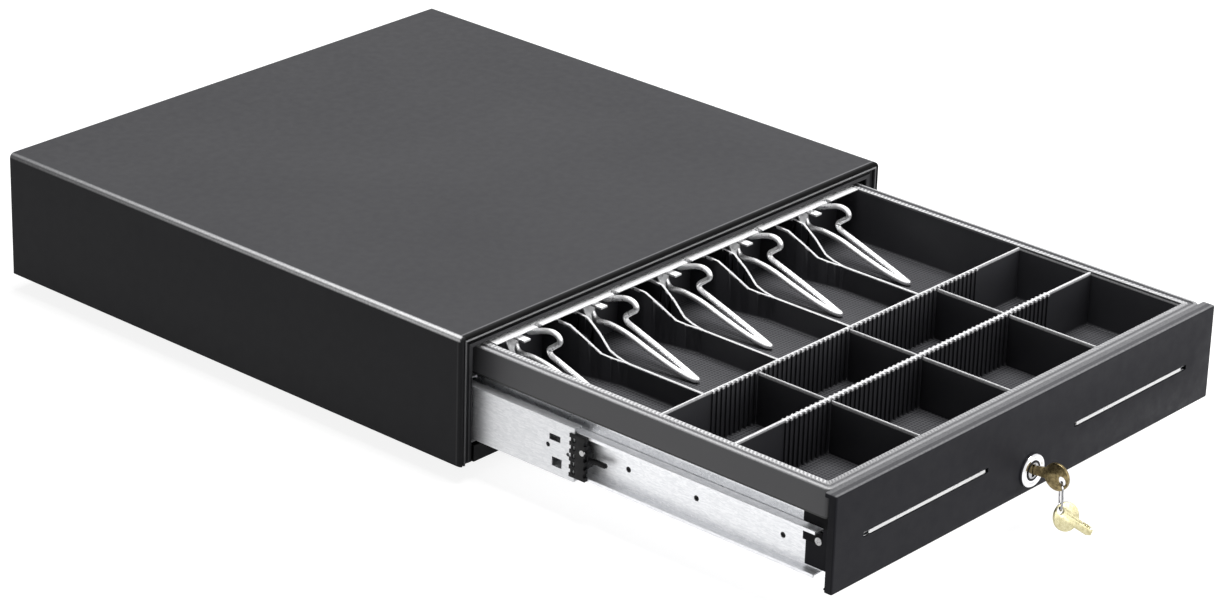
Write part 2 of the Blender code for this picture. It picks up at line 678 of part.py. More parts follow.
def build_slide(side, word):
    """One three-part ball slide: case, middle and drawer members, cages and the black front bumper."""
    piece(channel(side, OUTER_PATH, OUTER_SHEET, OUTER_SPAN), f"slide_outer_{word}", "zinc", CASE)
    middle = solid(channel(side, MIDDLE_PATH, MIDDLE_SHEET, MIDDLE_SPAN))
    for y, z, long, high in MIDDLE_WINDOWS:
        cut(middle, web_cutter(side, rectangle(MIDDLE_START + y, z, long, high)))
    for y, z, radius in MIDDLE_HOLES:
        cut(middle, web_cutter(side, circle((MIDDLE_START + y, z), radius)))
    moving = SPOTTED[f"slide_middle_{word}_axis"]
    piece(middle, f"slide_middle_{word}", "zinc", moving)

    faces = sorted(side * (SLIDE_X - u) for u in BUMPER_U)
    bumper = solid(flat("yz", [[(MIDDLE_START + y, z) for y, z in BUMPER_OUTLINE]], *faces))
    x = side * (SLIDE_X - BUMPER_PIN_U)
    tip, root = MIDDLE_START + BUMPER_PIN_TIP, MIDDLE_START + BUMPER_PIN_START
    pin = rod((x, tip, BUMPER_PIN_Z), (x, root, BUMPER_PIN_Z), BUMPER_PIN_RADIUS, HOLE_SEGMENTS)
    piece(join(bumper, pin), f"slide_bumper_{word}", "plastic", moving)

    inner = solid(channel(side, INNER_PATH, -INNER_SHEET, INNER_SPAN))
    web = SLIDE_X - INNER_PATH[2][0]
    faces = sorted((side * (web - CLEAR), side * (web + CLEAR)))
    for y in INNER_HOLES:
        loop = circle((INNER_START + y, SLIDE_Z), INNER_HOLE_RADIUS)
        cut(inner, flat("yz", [loop], *faces))
    piece(inner, f"slide_inner_{word}", "zinc", DRAWER)

    outer_axis, inner_axis = SPOTTED[f"outer_cage_{word}_axis"], SPOTTED[f"inner_cage_{word}_axis"]
    build_cage(side, f"outer_cage_{word}", OUTER_CAGE_PATH, OUTER_CAGE_SPAN, OUTER_BALL, outer_axis)
    build_cage(side, f"inner_cage_{word}", INNER_CAGE_PATH, INNER_CAGE_SPAN, INNER_BALL, inner_axis)


def build_panel():
    """The drawer's front: a shallow folded panel with two media slots, the lock hole and the slide tabs."""
    low = (-PANEL_HALF, -OPEN_TRAVEL, PANEL_LOW)
    high = (PANEL_HALF, -OPEN_TRAVEL + PANEL_DEPTH, PANEL_TOP)
    panel = thicken(bevel(lid_off(low, high, (0, 1, 0)), PANEL_BEND), PANEL_SHEET)
    behind = -OPEN_TRAVEL + SIDE_RETURN_DEPTH
    for side in (-1, 1):
        ends = sorted((side * (PANEL_HALF - CLEAR), side * (PANEL_HALF + CLEAR)))
        trim = block((ends[0], behind, -CLEAR), (ends[1], behind + CLEAR * 2, PANEL_TOP - CLEAR))
        cut(panel, trim)
        ends = sorted((side * SLOT_INNER, side * SLOT_OUTER))
        slot = block((ends[0], -OPEN_TRAVEL - CLEAR, SLOT_Z - SLOT_HEIGHT / 2),
                     (ends[1], -OPEN_TRAVEL + CLEAR, SLOT_Z + SLOT_HEIGHT / 2))
        cut(panel, slot)
        tab = [(y - OPEN_TRAVEL, z) for y, z in TAB_OUTLINE]
        join(panel, flat("yz", [tab], *sorted(side * x for x in TAB_X)))
    hole = rod((0, -OPEN_TRAVEL - CLEAR, LOCK_Z), (0, -OPEN_TRAVEL + CLEAR, LOCK_Z), LOCK_HOLE_RADIUS)
    piece(cut(panel, hole), "front_panel", "powder", DRAWER)


def build_pan():
    """The zinc pan that carries the tray: an open box with media slots, a lock hole and a rod window."""
    low, high = (-PAN_HALF, PAN_FRONT, PAN_LOW), (PAN_HALF, PAN_BACK, PAN_TOP)
    pan = thicken(lid_off(low, high, (0, 0, 1)), PAN_SHEET)
    for side in (-1, 1):
        ends = sorted((side * (SLOT_INNER - CLEAR), side * (SLOT_OUTER + CLEAR)))
        slot = block((ends[0], PAN_FRONT - CLEAR, SLOT_Z - SLOT_HEIGHT / 2),
                     (ends[1], PAN_FRONT + CLEAR, SLOT_Z))
        cut(pan, slot)
    cut(pan, rod((0, PAN_FRONT - CLEAR, LOCK_Z), (0, PAN_FRONT + CLEAR, LOCK_Z), LOCK_HOLE_RADIUS))
    low, high = LOCK_Z - ROD_WINDOW_HIGH / 2, LOCK_Z + ROD_WINDOW_HIGH / 2
    cut(pan, block((-ROD_WINDOW_HALF, PAN_BACK - CLEAR, low), (ROD_WINDOW_HALF, PAN_BACK + CLEAR, high)))
    piece(pan, "drawer_pan", "zinc", DRAWER)


def comb(y, way):
    """A toothed strip on a cross wall's face, which holds the coin dividers. way is where the teeth point.
    The walls stay smooth near the tray's sides."""
    half = TRAY_INNER_HALF + OVERLAP
    root, base, tip = y - way * OVERLAP, y - way * OVERLAP / 2, y + way * TOOTH_DEPTH
    row = [(-half, root), (-half, base)]
    count = int(COMB_SHARE * TRAY_INNER_HALF / TOOTH_PITCH)
    for index in range(-count, count):
        middle = (index + 0.5) * TOOTH_PITCH
        start, end = middle - TOOTH_WIDTH / 2, middle + TOOTH_WIDTH / 2
        row += [(start, base), (start, tip), (end, tip), (end, base)]
    row += [(half, base), (half, root)]
    return flat("xy", [row], TRAY_FLOOR - OVERLAP, COMB_TOP)


def build_tray():
    """The black money tray: rim and skirt, bill bays with their dividers, and two coin rows with combs."""
    outer = TRAY_INNER_HALF + TRAY_WALL
    rear = TRAY_REAR + TRAY_WALL
    low, high = (-RIM_HALF, RIM_FRONT, SKIRT_LOW), (RIM_HALF, RIM_BACK, RIM_TOP)
    tray = thicken(lid_off(low, high, (0, 0, -1)), RIM_SHEET)
    low = (-outer, TRAY_FRONT - TRAY_WALL, TRAY_FLOOR - TRAY_FLOOR_SHEET)
    join(tray, block(low, (outer, rear, RIM_TOP - RIM_SHEET + OVERLAP)))
    mid_front, mid_back = MID_WALL_Y - CROSS_WALL / 2, MID_WALL_Y + CROSS_WALL / 2
    coin_front, coin_back = COIN_WALL_Y - CROSS_WALL / 2, COIN_WALL_Y + CROSS_WALL / 2
    for front, back in ((TRAY_FRONT, mid_front), (mid_back, coin_front), (coin_back, TRAY_REAR)):
        cut(tray, block((-TRAY_INNER_HALF, front, TRAY_FLOOR), (TRAY_INNER_HALF, back, RIM_TOP + CLEAR)))
    for front, back in ((mid_front, mid_back), (coin_front, coin_back)):
        cut(tray, block((-TRAY_INNER_HALF, front - OVERLAP, CROSS_WALL_TOP),
                        (TRAY_INNER_HALF, back + OVERLAP, RIM_TOP + CLEAR)))
    reach = TAB_X[1] + OVERLAP
    for y in (RIM_FRONT + RIM_SHEET / 2, RIM_BACK - RIM_SHEET / 2):
        low, high = (-reach, y - RIM_SHEET, SKIRT_LOW - CLEAR), (reach, y + RIM_SHEET, PAN_TOP + SEAT / 2)
        cut(tray, block(low, high))
    for y, way in ((TRAY_FRONT, 1), (mid_front, -1), (mid_back, 1), (coin_front, -1)):
        join(tray, comb(y, way))
    for x in (share * TRAY_INNER_HALF for share in BILL_DIVIDER_SHARES):
        wall = block((x - BILL_WALL / 2, coin_back - OVERLAP, TRAY_FLOOR - OVERLAP),
                     (x + BILL_WALL / 2, TRAY_REAR - WALL_INTO_WEDGE, BILL_WALL_TOP))
        join(tray, wall)
        outline = [(x + half, TRAY_REAR + y) for half, y in WEDGE_OUTLINE]
        outline += [(x - half, TRAY_REAR + y) for half, y in reversed(WEDGE_OUTLINE)]
        wedge = solid(flat("xy", [outline], TRAY_FLOOR - OVERLAP, WEDGE_SIDE[0][1] + CLEAR))
        side = [(TRAY_REAR + y, z) for y, z in WEDGE_SIDE]
        behind = side[0][0] + CLEAR
        side += [(side[-1][0], RIM_TOP), (behind, RIM_TOP), (behind, side[0][1])]
        reach = WEDGE_OUTLINE[0][0] + CLEAR
        wedge = cut(wedge, flat("yz", [side], x - reach, x + reach))
        join(tray, wedge)
    piece(tray, "tray", "plastic", DRAWER)


def build_dividers():
    """The six loose dividers that make eight coin cups."""
    rows = ((TRAY_FRONT + TOOTH_DEPTH, MID_WALL_Y - CROSS_WALL / 2 - TOOTH_DEPTH),
            (MID_WALL_Y + CROSS_WALL / 2 + TOOTH_DEPTH, COIN_WALL_Y - CROSS_WALL / 2 - TOOTH_DEPTH))
    for row, (front, back) in enumerate(rows):
        for column, share in enumerate(COIN_COLUMN_SHARES):
            x = share * TRAY_INNER_HALF
            low = (x - COIN_DIVIDER_SHEET / 2, front + SEAT, TRAY_FLOOR + SEAT)
            high = (x + COIN_DIVIDER_SHEET / 2, back - SEAT, COIN_DIVIDER_TOP)
            divider = bevel(block(low, high), SEAT, 1)
            piece(divider, f"coin_divider_{row + 1}_{column + 1}", "plastic", DRAWER)


def build_clips():
    """The rod across the bill bays with its five saddles, and a sprung wire clip for each bay."""
    rail = solid(rod((-ROD_HALF, ROD_Y, ROD_Z), (ROD_HALF, ROD_Y, ROD_Z), ROD_RADIUS, HOLE_SEGMENTS))
    for index, share in enumerate(CLIP_BAY_SHARES):
        bay = share * TRAY_INNER_HALF
        loop = [(bay + x, z) for x, z in SADDLE_OUTLINE]
        join(rail, flat("xz", [loop], ROD_Y - SADDLE_SHEET / 2, ROD_Y + SADDLE_SHEET / 2))
        x = bay + (SADDLE_OUTLINE[0][0] + SADDLE_OUTLINE[4][0]) / 2
        low = (x - SADDLE_ARM_HALF, ROD_Y + SADDLE_ARM[0], SADDLE_ARM_Z - SADDLE_SHEET / 2)
        high = (x + SADDLE_ARM_HALF, ROD_Y + SADDLE_ARM[1], SADDLE_ARM_Z + SADDLE_SHEET / 2)
        join(rail, block(low, high))

        axis = SPOTTED[f"clip_{index + 1}_axis"]
        right, left = bay + LEG_HALF_GAP, bay - LEG_HALF_GAP
        points = [(right, ROD_Y + y, z) for y, z in CLIP_RIGHT]
        points += [(bay, ROD_Y + CLIP_TIP[0], CLIP_TIP[1])]
        points += [(left, ROD_Y + y, z) for y, z in CLIP_LEFT]
        clip = tube(smoothed(points), CLIP_WIRE_RADIUS)
        piece(clip, f"bill_clip_{index + 1}", "bright", axis)

        start = Vector((bay + SPRING_START, ROD_Y, ROD_Z))
        row = coil(start, (1, 0, 0), SPRING_RADIUS, SPRING_PITCH, SPRING_CURLS)
        for end, neighbour in ((0, 1), (-1, -2)):
            away = (row[end] - row[neighbour]).normalized() * SPRING_TAIL
            away.x = 0
            row.insert(0 if end == 0 else len(row), row[end] + away)
        print_gap(f"clip_spring_{index + 1}", row, SPRING_WIRE_RADIUS)
        spring = tube(row, SPRING_WIRE_RADIUS, resolution=1)
        piece(spring, f"clip_spring_{index + 1}", "bright", axis)
    piece(rail, "clip_rail", "zinc", DRAWER)


def key_outline(bow_radius, tip):
    """A key's outline along its length from the bow's middle: a round bow, then a blade with notches."""
    start = math.asin(KEY_HALF / bow_radius)
    row = []
    for index in range(BOW_SEGMENTS + 1):
        turn = start + (2 * math.pi - 2 * start) * index / BOW_SEGMENTS
        row.append((bow_radius * math.cos(turn), bow_radius * math.sin(turn)))
    half = KEY_HALF / 2
    point = [(tip - KEY_HALF, -KEY_HALF), (tip, -half), (tip, half), (tip - half, KEY_HALF)]
    notches = []
    for share in reversed(KEY_NOTCH_SHARES):
        along = bow_radius + (tip - bow_radius) * share
        notches += [(along + NOTCH_HALF, KEY_HALF), (along, KEY_HALF - NOTCH_DEPTH)]
        notches += [(along - NOTCH_HALF, KEY_HALF)]
    return row + point + notches


def build_lock():
    """The lock: barrel with its bright ring, nut, plug with a keyway, and the flat rod to the back."""
    face, centre = -SEAT, (0, -OPEN_TRAVEL, LOCK_Z)
    barrel = turned([(PLUG_BORE_RADIUS, BARREL_BACK), (BODY_RADIUS, BARREL_BACK), (BODY_RADIUS, face),
                     (BEZEL_RADIUS, face), (BEZEL_RADIUS, BEZEL_FRONT + BEZEL_ROUND),
                     (BEZEL_RADIUS - BEZEL_ROUND, BEZEL_FRONT), (PLUG_BORE_RADIUS, BEZEL_FRONT),
                     (PLUG_BORE_RADIUS, BARREL_BACK)], centre, (0, 1, 0))
    piece(barrel, "lock_barrel", "bright", DRAWER)

    corners = circle((0, LOCK_Z), NUT_RADIUS, 6)
    bore = circle((0, LOCK_Z), BODY_RADIUS + SEAT, ROUND_SEGMENTS)
    front, back = (y - OPEN_TRAVEL for y in NUT_SPAN)
    piece(flat("xz", [corners, bore], front, back), "lock_nut", "zinc", DRAWER)

    front, back = (y - OPEN_TRAVEL for y in PLUG_SPAN)
    plug = solid(rod((0, front, LOCK_Z), (0, back, LOCK_Z), PLUG_RADIUS))
    keyway = block((-KEYWAY_HALF_THICK, front - CLEAR, LOCK_Z - KEYWAY_HALF_HIGH),
                   (KEYWAY_HALF_THICK, front + KEYWAY_DEPTH, LOCK_Z + KEYWAY_HALF_HIGH))
    piece(cut(plug, keyway), "lock_plug", "bright", LOCK)

    bar = block((-LOCK_ROD_HALF_WIDE, back + SEAT, LOCK_Z - LOCK_ROD_HALF_THICK),
                (LOCK_ROD_HALF_WIDE, PAN_BACK + LOCK_ROD_BEYOND, LOCK_Z + LOCK_ROD_HALF_THICK))
    front, back = (y + PAN_BACK for y in LOCK_CAM_SPAN)
    piece(join(bar, rod((0, front, LOCK_Z), (0, back, LOCK_Z), LOCK_CAM_RADIUS)), "lock_rod", "zinc", LOCK)


def build_keys():
    """The key in the lock, the ring through its bow and the spare key that hangs from the ring."""
    bow_y, bow_z = KEY_BOW[0] - OPEN_TRAVEL, KEY_BOW[1]
    rise = bow_z - LOCK_Z
    loop = [(bow_y + along, bow_z - rise * (along > BOW_RADIUS) + across)
            for along, across in key_outline(BOW_RADIUS, KEY_TIP - KEY_BOW[0])]
    hole = circle((KEY_HOLE[0] - OPEN_TRAVEL, KEY_HOLE[1]), KEY_HOLE_RADIUS)
    piece(flat("yz", [loop, hole], -KEY_THICK / 2, KEY_THICK / 2), "lock_key", "brass", KEY)

    low = SPOTS["spare_key_axis"]
    middle = low + Vector((0, 0, RING_RADIUS))
    points = [(x, middle.y, z) for x, z in circle((middle.x, middle.z), RING_RADIUS, ROUND_SEGMENTS)]
    piece(tube(points, RING_WIRE_RADIUS, cyclic=True, resolution=1), "key_ring", "bright", RING)

    aim = Vector(SPARE_AIM_SHARES).normalized()
    normal = (Vector((1, 0, 0)) - aim * aim.x).normalized()
    across = normal.cross(aim)
    turn = Matrix((aim, across, normal)).transposed()
    outline = key_outline(SPARE_BOW_RADIUS, SPARE_LENGTH)
    back = Vector((0, 1, 0))
    toward = (back - normal * back.dot(normal)).normalized()
    offset = (toward.dot(aim) * SPARE_HOLE_OFFSET, toward.dot(across) * SPARE_HOLE_OFFSET)
    spare = flat("xy", [outline, circle(offset, SPARE_HOLE_RADIUS)], -KEY_THICK / 2, KEY_THICK / 2)
    shift = Vector((*outline[0], 0))
    drop = Vector((0, 0, -1))
    drop = (drop - normal * drop.dot(normal)).normalized() * SPARE_DROP
    centre = low + drop - turn @ Vector((*offset, 0))
    spare.matrix_world = Matrix.Translation(centre + turn @ shift) @ turn.to_4x4()
    piece(spare, "spare_key", "brass", SPARE)
    return centre.y - SPARE_BOW_RADIUS * math.sqrt(1 - normal.y ** 2) - KEY_THICK / 2 * normal.y


def build_strike():
    """The strike plate on the back of the pan, with a window for the hook's nose."""
    loops = [[(PAN_BACK + y, z) for y, z in loop] for loop in (STRIKE_OUTLINE, STRIKE_WINDOW)]
    strike = solid(flat("yz", loops, LATCH_X - STRIKE_SHEET / 2, LATCH_X + STRIKE_SHEET / 2))
    low, high = loops[0][0], loops[0][-2]
    foot = block((LATCH_X - STRIKE_FOOT_HALF, *low), (LATCH_X, *high))
    piece(join(strike, foot), "strike", "zinc", DRAWER)


def build_bracket():
    """The bent bracket on the case floor, and the upright pin on which the hook turns."""
    front, back = SHUT_BACK + BRACKET_FRONT, SHUT_BACK + BRACKET_BACK
    bent = [(front, BRACKET_LOW), (back, BRACKET_LOW), (back, BRACKET_TOP)]
    bracket = solid(flat("yz", [strip(bent, BRACKET_SHEET)], *BRACKET_X))
    start, end = (PLUNGER_X, back - CLEAR, PLUNGER_Z), (PLUNGER_X, back + CLEAR, PLUNGER_Z)
    piece(cut(bracket, rod(start, end, BRACKET_HOLE_RADIUS)), "latch_bracket", "zinc", CASE)

    low, shelf, head = BRACKET_LOW + BRACKET_SHEET + SEAT, HOOK_Z[0] - SEAT, HOOK_Z[1] + SEAT
    top = head + PIN_HEAD
    profile = [(0, top), (PIN_COLLAR_RADIUS, top), (PIN_COLLAR_RADIUS, head), (PIN_RADIUS, head)]
    profile += [(PIN_RADIUS, shelf), (PIN_COLLAR_RADIUS, shelf), (PIN_COLLAR_RADIUS, low), (0, low)]
    piece(turned(profile, (HOOK_PIN[0], SHUT_BACK + HOOK_PIN[1], 0), (0, 0, 1)), "latch_pin", "bright", CASE)


def build_latch():
    """The latch hook, the plunger that pulls it and the solenoid round the plunger."""
    bore = circle(HOOK_PIN, HOOK_BORE_RADIUS)
    loops = [[(x, SHUT_BACK + y) for x, y in loop] for loop in (HOOK_OUTLINE, bore, HOOK_SLOT)]
    piece(flat("xy", loops, *HOOK_Z), "latch_hook", "zinc", HOOK)

    front, back = (SHUT_BACK + y for y in PLUNGER_SPAN)
    plunger = solid(rod((PLUNGER_X, front, PLUNGER_Z), (PLUNGER_X, back, PLUNGER_Z), PLUNGER_RADIUS))
    wide = PLUNGER_RADIUS + CLEAR
    low, high = HOOK_Z[0] - SEAT, HOOK_Z[1] + SEAT
    fork_back = SHUT_BACK + PLUNGER_SLOT_BACK
    cut(plunger, block((PLUNGER_X - wide, front - CLEAR, low), (PLUNGER_X + wide, fork_back, high)))
    pin_y = SHUT_BACK + HOOK_PIN[1]
    start, end = (PLUNGER_X, pin_y, low - OVERLAP), (PLUNGER_X, pin_y, high + OVERLAP)
    pin = rod(start, end, PLUNGER_CROSS_RADIUS, HOLE_SEGMENTS)
    piece(join(plunger, pin), "solenoid_plunger", "bright", PLUNGER)

    front, back = (SHUT_BACK + y for y in SOLENOID_SPAN)
    low, high = SOLENOID_Z
    frame = block((PLUNGER_X - SOLENOID_HALF, front, low), (PLUNGER_X + SOLENOID_HALF, back, high))
    wide = SOLENOID_HALF + CLEAR
    cut(frame, block((PLUNGER_X - wide, front + SOLENOID_YOKE, low + SOLENOID_YOKE),
                     (PLUNGER_X + wide, back - SOLENOID_YOKE, high + CLEAR)))
    join(frame, rod((PLUNGER_X, front + OVERLAP, PLUNGER_Z), (PLUNGER_X, back - OVERLAP, PLUNGER_Z),
                    SOLENOID_WINDING_RADIUS))
    start, end = (PLUNGER_X, front - CLEAR, PLUNGER_Z), (PLUNGER_X, SHUT_BACK + SOLENOID_BORE_BACK, PLUNGER_Z)
    cut(frame, rod(start, end, SOLENOID_BORE_RADIUS))
    piece(frame, "solenoid", "coil", CASE)


def build_switch():
    """The microswitch on the bracket, with the lever that the shut drawer presses."""
    body = block((SWITCH_LOW[0], SHUT_BACK + SWITCH_LOW[1], SWITCH_LOW[2]),
                 (SWITCH_HIGH[0], SHUT_BACK + SWITCH_HIGH[1], SWITCH_HIGH[2]))
    x = (SWITCH_LOW[0] + SWITCH_HIGH[0]) / 2
    path = [(SHUT_BACK + y, z) for y, z in LEVER_PATH]
    lever = flat("yz", [strip(path, LEVER_SHEET)], x - LEVER_HALF, x + LEVER_HALF)
    piece(join(body, lever), "microswitch", "plastic", CASE)


def build_ejector():
    """The pusher spring on its guide, drawn as long as it is with the drawer shut."""
    head_front, head_back = EJECTOR_HEAD_SPAN
    wall = BRACKET_BACK - BRACKET_SHEET - SEAT
    guide = turned([(0, wall), (EJECTOR_PIN_RADIUS, wall), (EJECTOR_PIN_RADIUS, head_back),
                    (EJECTOR_HEAD_RADIUS, head_back), (EJECTOR_HEAD_RADIUS, head_front), (0, head_front)],
                   (EJECTOR_X, SHUT_BACK, EJECTOR_Z), (0, 1, 0))
    piece(guide, "ejector_guide", "bright", CASE)
    start = (EJECTOR_X, SHUT_BACK + head_back + EJECTOR_WIRE_RADIUS + SEAT, EJECTOR_Z)
    row = coil(start, (0, 1, 0), EJECTOR_RADIUS, EJECTOR_PITCH, EJECTOR_CURLS)
    print_gap("ejector_spring", row, EJECTOR_WIRE_RADIUS)
    piece(tube(row, EJECTOR_WIRE_RADIUS, resolution=1), "ejector_spring", "bright", CASE)


def build_axes():
    """The empties on the joints' axes, by name."""
    axes = {}
    for word, side in (("left", -1), ("right", 1)):
        for name in (f"slide_middle_{word}", f"outer_cage_{word}", f"inner_cage_{word}"):
            axes[f"{name}_axis"] = empty(f"{name}_axis", (side * SLIDE_X, 0, SLIDE_Z), CASE)
    for index, share in enumerate(CLIP_BAY_SHARES):
        spot = (share * TRAY_INNER_HALF, ROD_Y, ROD_Z)
        axes[f"clip_{index + 1}_axis"] = empty(f"clip_{index + 1}_axis", spot, DRAWER)
    return axes


SPOTS = {}
clear_scene()
PARTS = collection("cash_drawer")
CUTTERS = collection("cutters")
STORE = collection("store")
CASE = empty("cash_drawer_root", (0, 0, 0), None)
DRAWER = empty("drawer_axis", (0, 0, SLIDE_Z), CASE)
LOCK = empty("lock_axis", (0, -OPEN_TRAVEL, LOCK_Z), DRAWER)
KEY = empty("key_axis", (0, -OPEN_TRAVEL, LOCK_Z), LOCK)
RING_Y = KEY_HOLE[0] - OPEN_TRAVEL
RING_TOP = KEY_HOLE[1] - KEY_HOLE_RADIUS + RING_WIRE_RADIUS + SEAT
RING = empty("ring_axis", (0, RING_Y, RING_TOP), KEY)
SPARE = empty("spare_key_axis", (0, RING_Y, RING_TOP - 2 * RING_RADIUS), RING)
PLUNGER_Z = (HOOK_Z[0] + HOOK_Z[1]) / 2
HOOK = empty("hook_axis", (HOOK_PIN[0], SHUT_BACK + HOOK_PIN[1], HOOK_Z[0]), CASE)
PLUNGER = empty("plunger_axis", (PLUNGER_X, SHUT_BACK + SOLENOID_SPAN[0], PLUNGER_Z), CASE)
SPOTTED = build_axes()

build_case()
build_jack()
for slide_side, slide_word in ((-1, "left"), (1, "right")):
    build_slide(slide_side, slide_word)
build_panel()
build_pan()
build_tray()
build_dividers()
build_clips()
build_lock()
FRONT_REACH = build_keys()
build_strike()
build_bracket()
build_latch()
build_switch()
build_ejector()

CASE.location = (0, -(FRONT_REACH + CASE_DEPTH + JACK_REACH) / 2, FOOT_HEIGHT)
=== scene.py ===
# %% [markdown]
# # Dressing a cash drawer
# A cash drawer is a folded steel case, a drawer on ball slides and a moulded money tray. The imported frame
# already holds every solid at its real size and place. This lesson gives them their finish and replaces the
# pieces whose fine shape matters to the eye: the ribbed tray, the sprung wire clips, the lock and keys.
# Every new shape is a surface worked out with numpy: a formula over two parameters, put into a mesh at once.

# %% The frame and the libraries
import json
import math

import bmesh
import bpy
import numpy as np
from mathutils import Matrix, Vector

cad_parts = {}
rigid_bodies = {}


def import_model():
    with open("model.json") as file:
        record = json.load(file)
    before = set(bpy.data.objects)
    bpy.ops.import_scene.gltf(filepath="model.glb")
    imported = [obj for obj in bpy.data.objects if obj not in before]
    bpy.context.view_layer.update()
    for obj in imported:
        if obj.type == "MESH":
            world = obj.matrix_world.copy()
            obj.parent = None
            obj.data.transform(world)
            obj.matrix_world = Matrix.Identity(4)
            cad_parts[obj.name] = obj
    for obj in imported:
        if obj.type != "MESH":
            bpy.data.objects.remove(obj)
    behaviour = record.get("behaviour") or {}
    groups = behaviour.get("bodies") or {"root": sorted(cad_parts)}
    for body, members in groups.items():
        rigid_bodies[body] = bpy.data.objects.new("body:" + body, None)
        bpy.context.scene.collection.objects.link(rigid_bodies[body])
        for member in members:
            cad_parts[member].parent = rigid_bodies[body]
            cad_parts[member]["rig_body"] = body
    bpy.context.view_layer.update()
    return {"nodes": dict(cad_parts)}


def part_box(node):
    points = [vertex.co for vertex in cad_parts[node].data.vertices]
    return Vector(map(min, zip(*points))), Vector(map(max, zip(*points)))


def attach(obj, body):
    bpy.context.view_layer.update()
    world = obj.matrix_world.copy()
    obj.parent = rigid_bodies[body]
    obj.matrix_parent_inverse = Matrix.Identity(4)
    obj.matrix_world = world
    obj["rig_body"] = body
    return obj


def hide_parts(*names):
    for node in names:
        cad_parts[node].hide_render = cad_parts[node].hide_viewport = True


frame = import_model()

# %% [markdown]
# ## Where things are
# The case's front plane and its underside are the two datums of the whole drawer. Both are read from the
# frame, and so are the panel's face and the pan, so nothing here has to be fitted by eye. Lengths are
# metres, and SHARP and FLAT are degrees.

# %% Datums
CASE_LOW, CASE_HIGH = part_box("case_cover")
PANEL_LOW, PANEL_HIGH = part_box("front_panel")
PAN_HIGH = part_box("drawer_pan")[1]
RIM_LOW, RIM_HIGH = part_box("tray")
DATUM = np.array([0, CASE_LOW.y, CASE_LOW.z])
FACE_Y = PANEL_LOW.y - CASE_LOW.y
PAN_BACK = PAN_HIGH.y - CASE_LOW.y
PAN_HALF = PAN_HIGH.x
SIDES = (("left", -1), ("right", 1))
MERGE = 0.000004
HAIR = 0.00002
SHARP = 35
FLAT = 0.5


def on_case(points):
    """Points measured from the case's front plane and underside, moved into the frame."""
    return np.asarray(points, float) + DATUM


print("panel stands", round(-FACE_Y, 4), "in front of the case")

# %% [markdown]
# ## Turning arrays into pieces
# A grid of points, rows by columns, becomes quads that join each point to its neighbours. Tubes and turned
# pieces close round one way, and flat caps close their ends. Doubles are merged before the normals are
# worked out, so poles and seams are closed and every face points outwards.

# %% Mesh helpers
def grid_faces(rows, columns, wrap=False):
    """Quads of a grid: corner (i, j) with (i, j+1), (i+1, j+1) and (i+1, j). wrap joins the last column to
    the first."""
    index = np.arange(rows * columns).reshape(rows, columns)
    if wrap:
        index = np.hstack((index, index[:, :1]))
    corners = (index[:-1, :-1], index[:-1, 1:], index[1:, 1:], index[1:, :-1])
    return np.stack(corners, axis=-1).reshape(-1, 4)


def piece(name, points, faces, material, body, node=None, angle=SHARP, worn=None):
    """A finished piece from points and faces. It rides on a body and may stand for a CAD node. worn is kept
    as an attribute for the finish: above 0 is pale grey, which is painted highlight on the case and, on the
    tray, worn grey together with painted highlight; 0 is plain and below 0 is painted shade."""
    data = bpy.data.meshes.new(name)
    data.from_pydata(np.asarray(points, float).reshape(-1, 3).tolist(), [], faces)
    if worn is not None:
        mark = data.attributes.new("worn", "FLOAT", "POINT")
        mark.data.foreach_set("value", np.asarray(worn, np.float32).ravel())
    form = bmesh.new()
    form.from_mesh(data)
    bmesh.ops.remove_doubles(form, verts=form.verts, dist=MERGE)
    bmesh.ops.recalc_face_normals(form, faces=form.faces)
    form.to_mesh(data)
    form.free()
    return settle(name, data, material, body, node, angle)


def linked(name, data):
    """A new object, linked to the scene."""
    made = bpy.data.objects.new(name, data)
    bpy.context.scene.collection.objects.link(made)
    return made


def settle(name, data, material, body, stood_for=None, angle=SHARP):
    """Shades a piece's mesh, gives it its material, lets it ride and hides the imported part it stands for.
    """
    data.shade_smooth()
    data.set_sharp_from_angle(angle=math.radians(angle))
    data.materials.clear()
    data.materials.append(material)
    made = linked(name, data)
    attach(made, body)
    if stood_for:
        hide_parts(stood_for)
    return made


def tube_faces(rows, columns, capped=True):
    """The quads of a closed tube and, where it is capped, one face over each end."""
    faces = grid_faces(rows, columns, wrap=True).tolist()
    if capped:
        faces += [list(range(columns)), list(range((rows - 1) * columns, rows * columns))]
    return faces


# %% Turned pieces, wires and drawn sections
def facing(aim):
    """The turn that lays the z axis along an aim."""
    return np.array(Vector(aim).to_track_quat("Z", "Y").to_matrix())


def turned_grid(profile, centre, aim, sides):
    """Rings of a turned piece. Point = centre + along * aim + radius * (cos t * across + sin t * up), t once
    round."""
    radius, along = np.asarray(profile, float).T
    angle = np.linspace(0, 2 * np.pi, sides, endpoint=False)
    ring = np.stack((np.cos(angle), np.sin(angle), np.zeros(sides)), axis=-1)
    points = radius[:, None, None] * ring + along[:, None, None] * np.array([0, 0, 1])
    return points @ facing(aim).T + np.asarray(centre, float)


def turned(name, profile, centre, aim, material, body, node=None, sides=48):
    """A turned piece whose profile starts and ends on the axis."""
    grid = turned_grid(profile, centre, aim, sides)
    return piece(name, grid, tube_faces(len(grid), sides, False), material, body, node)


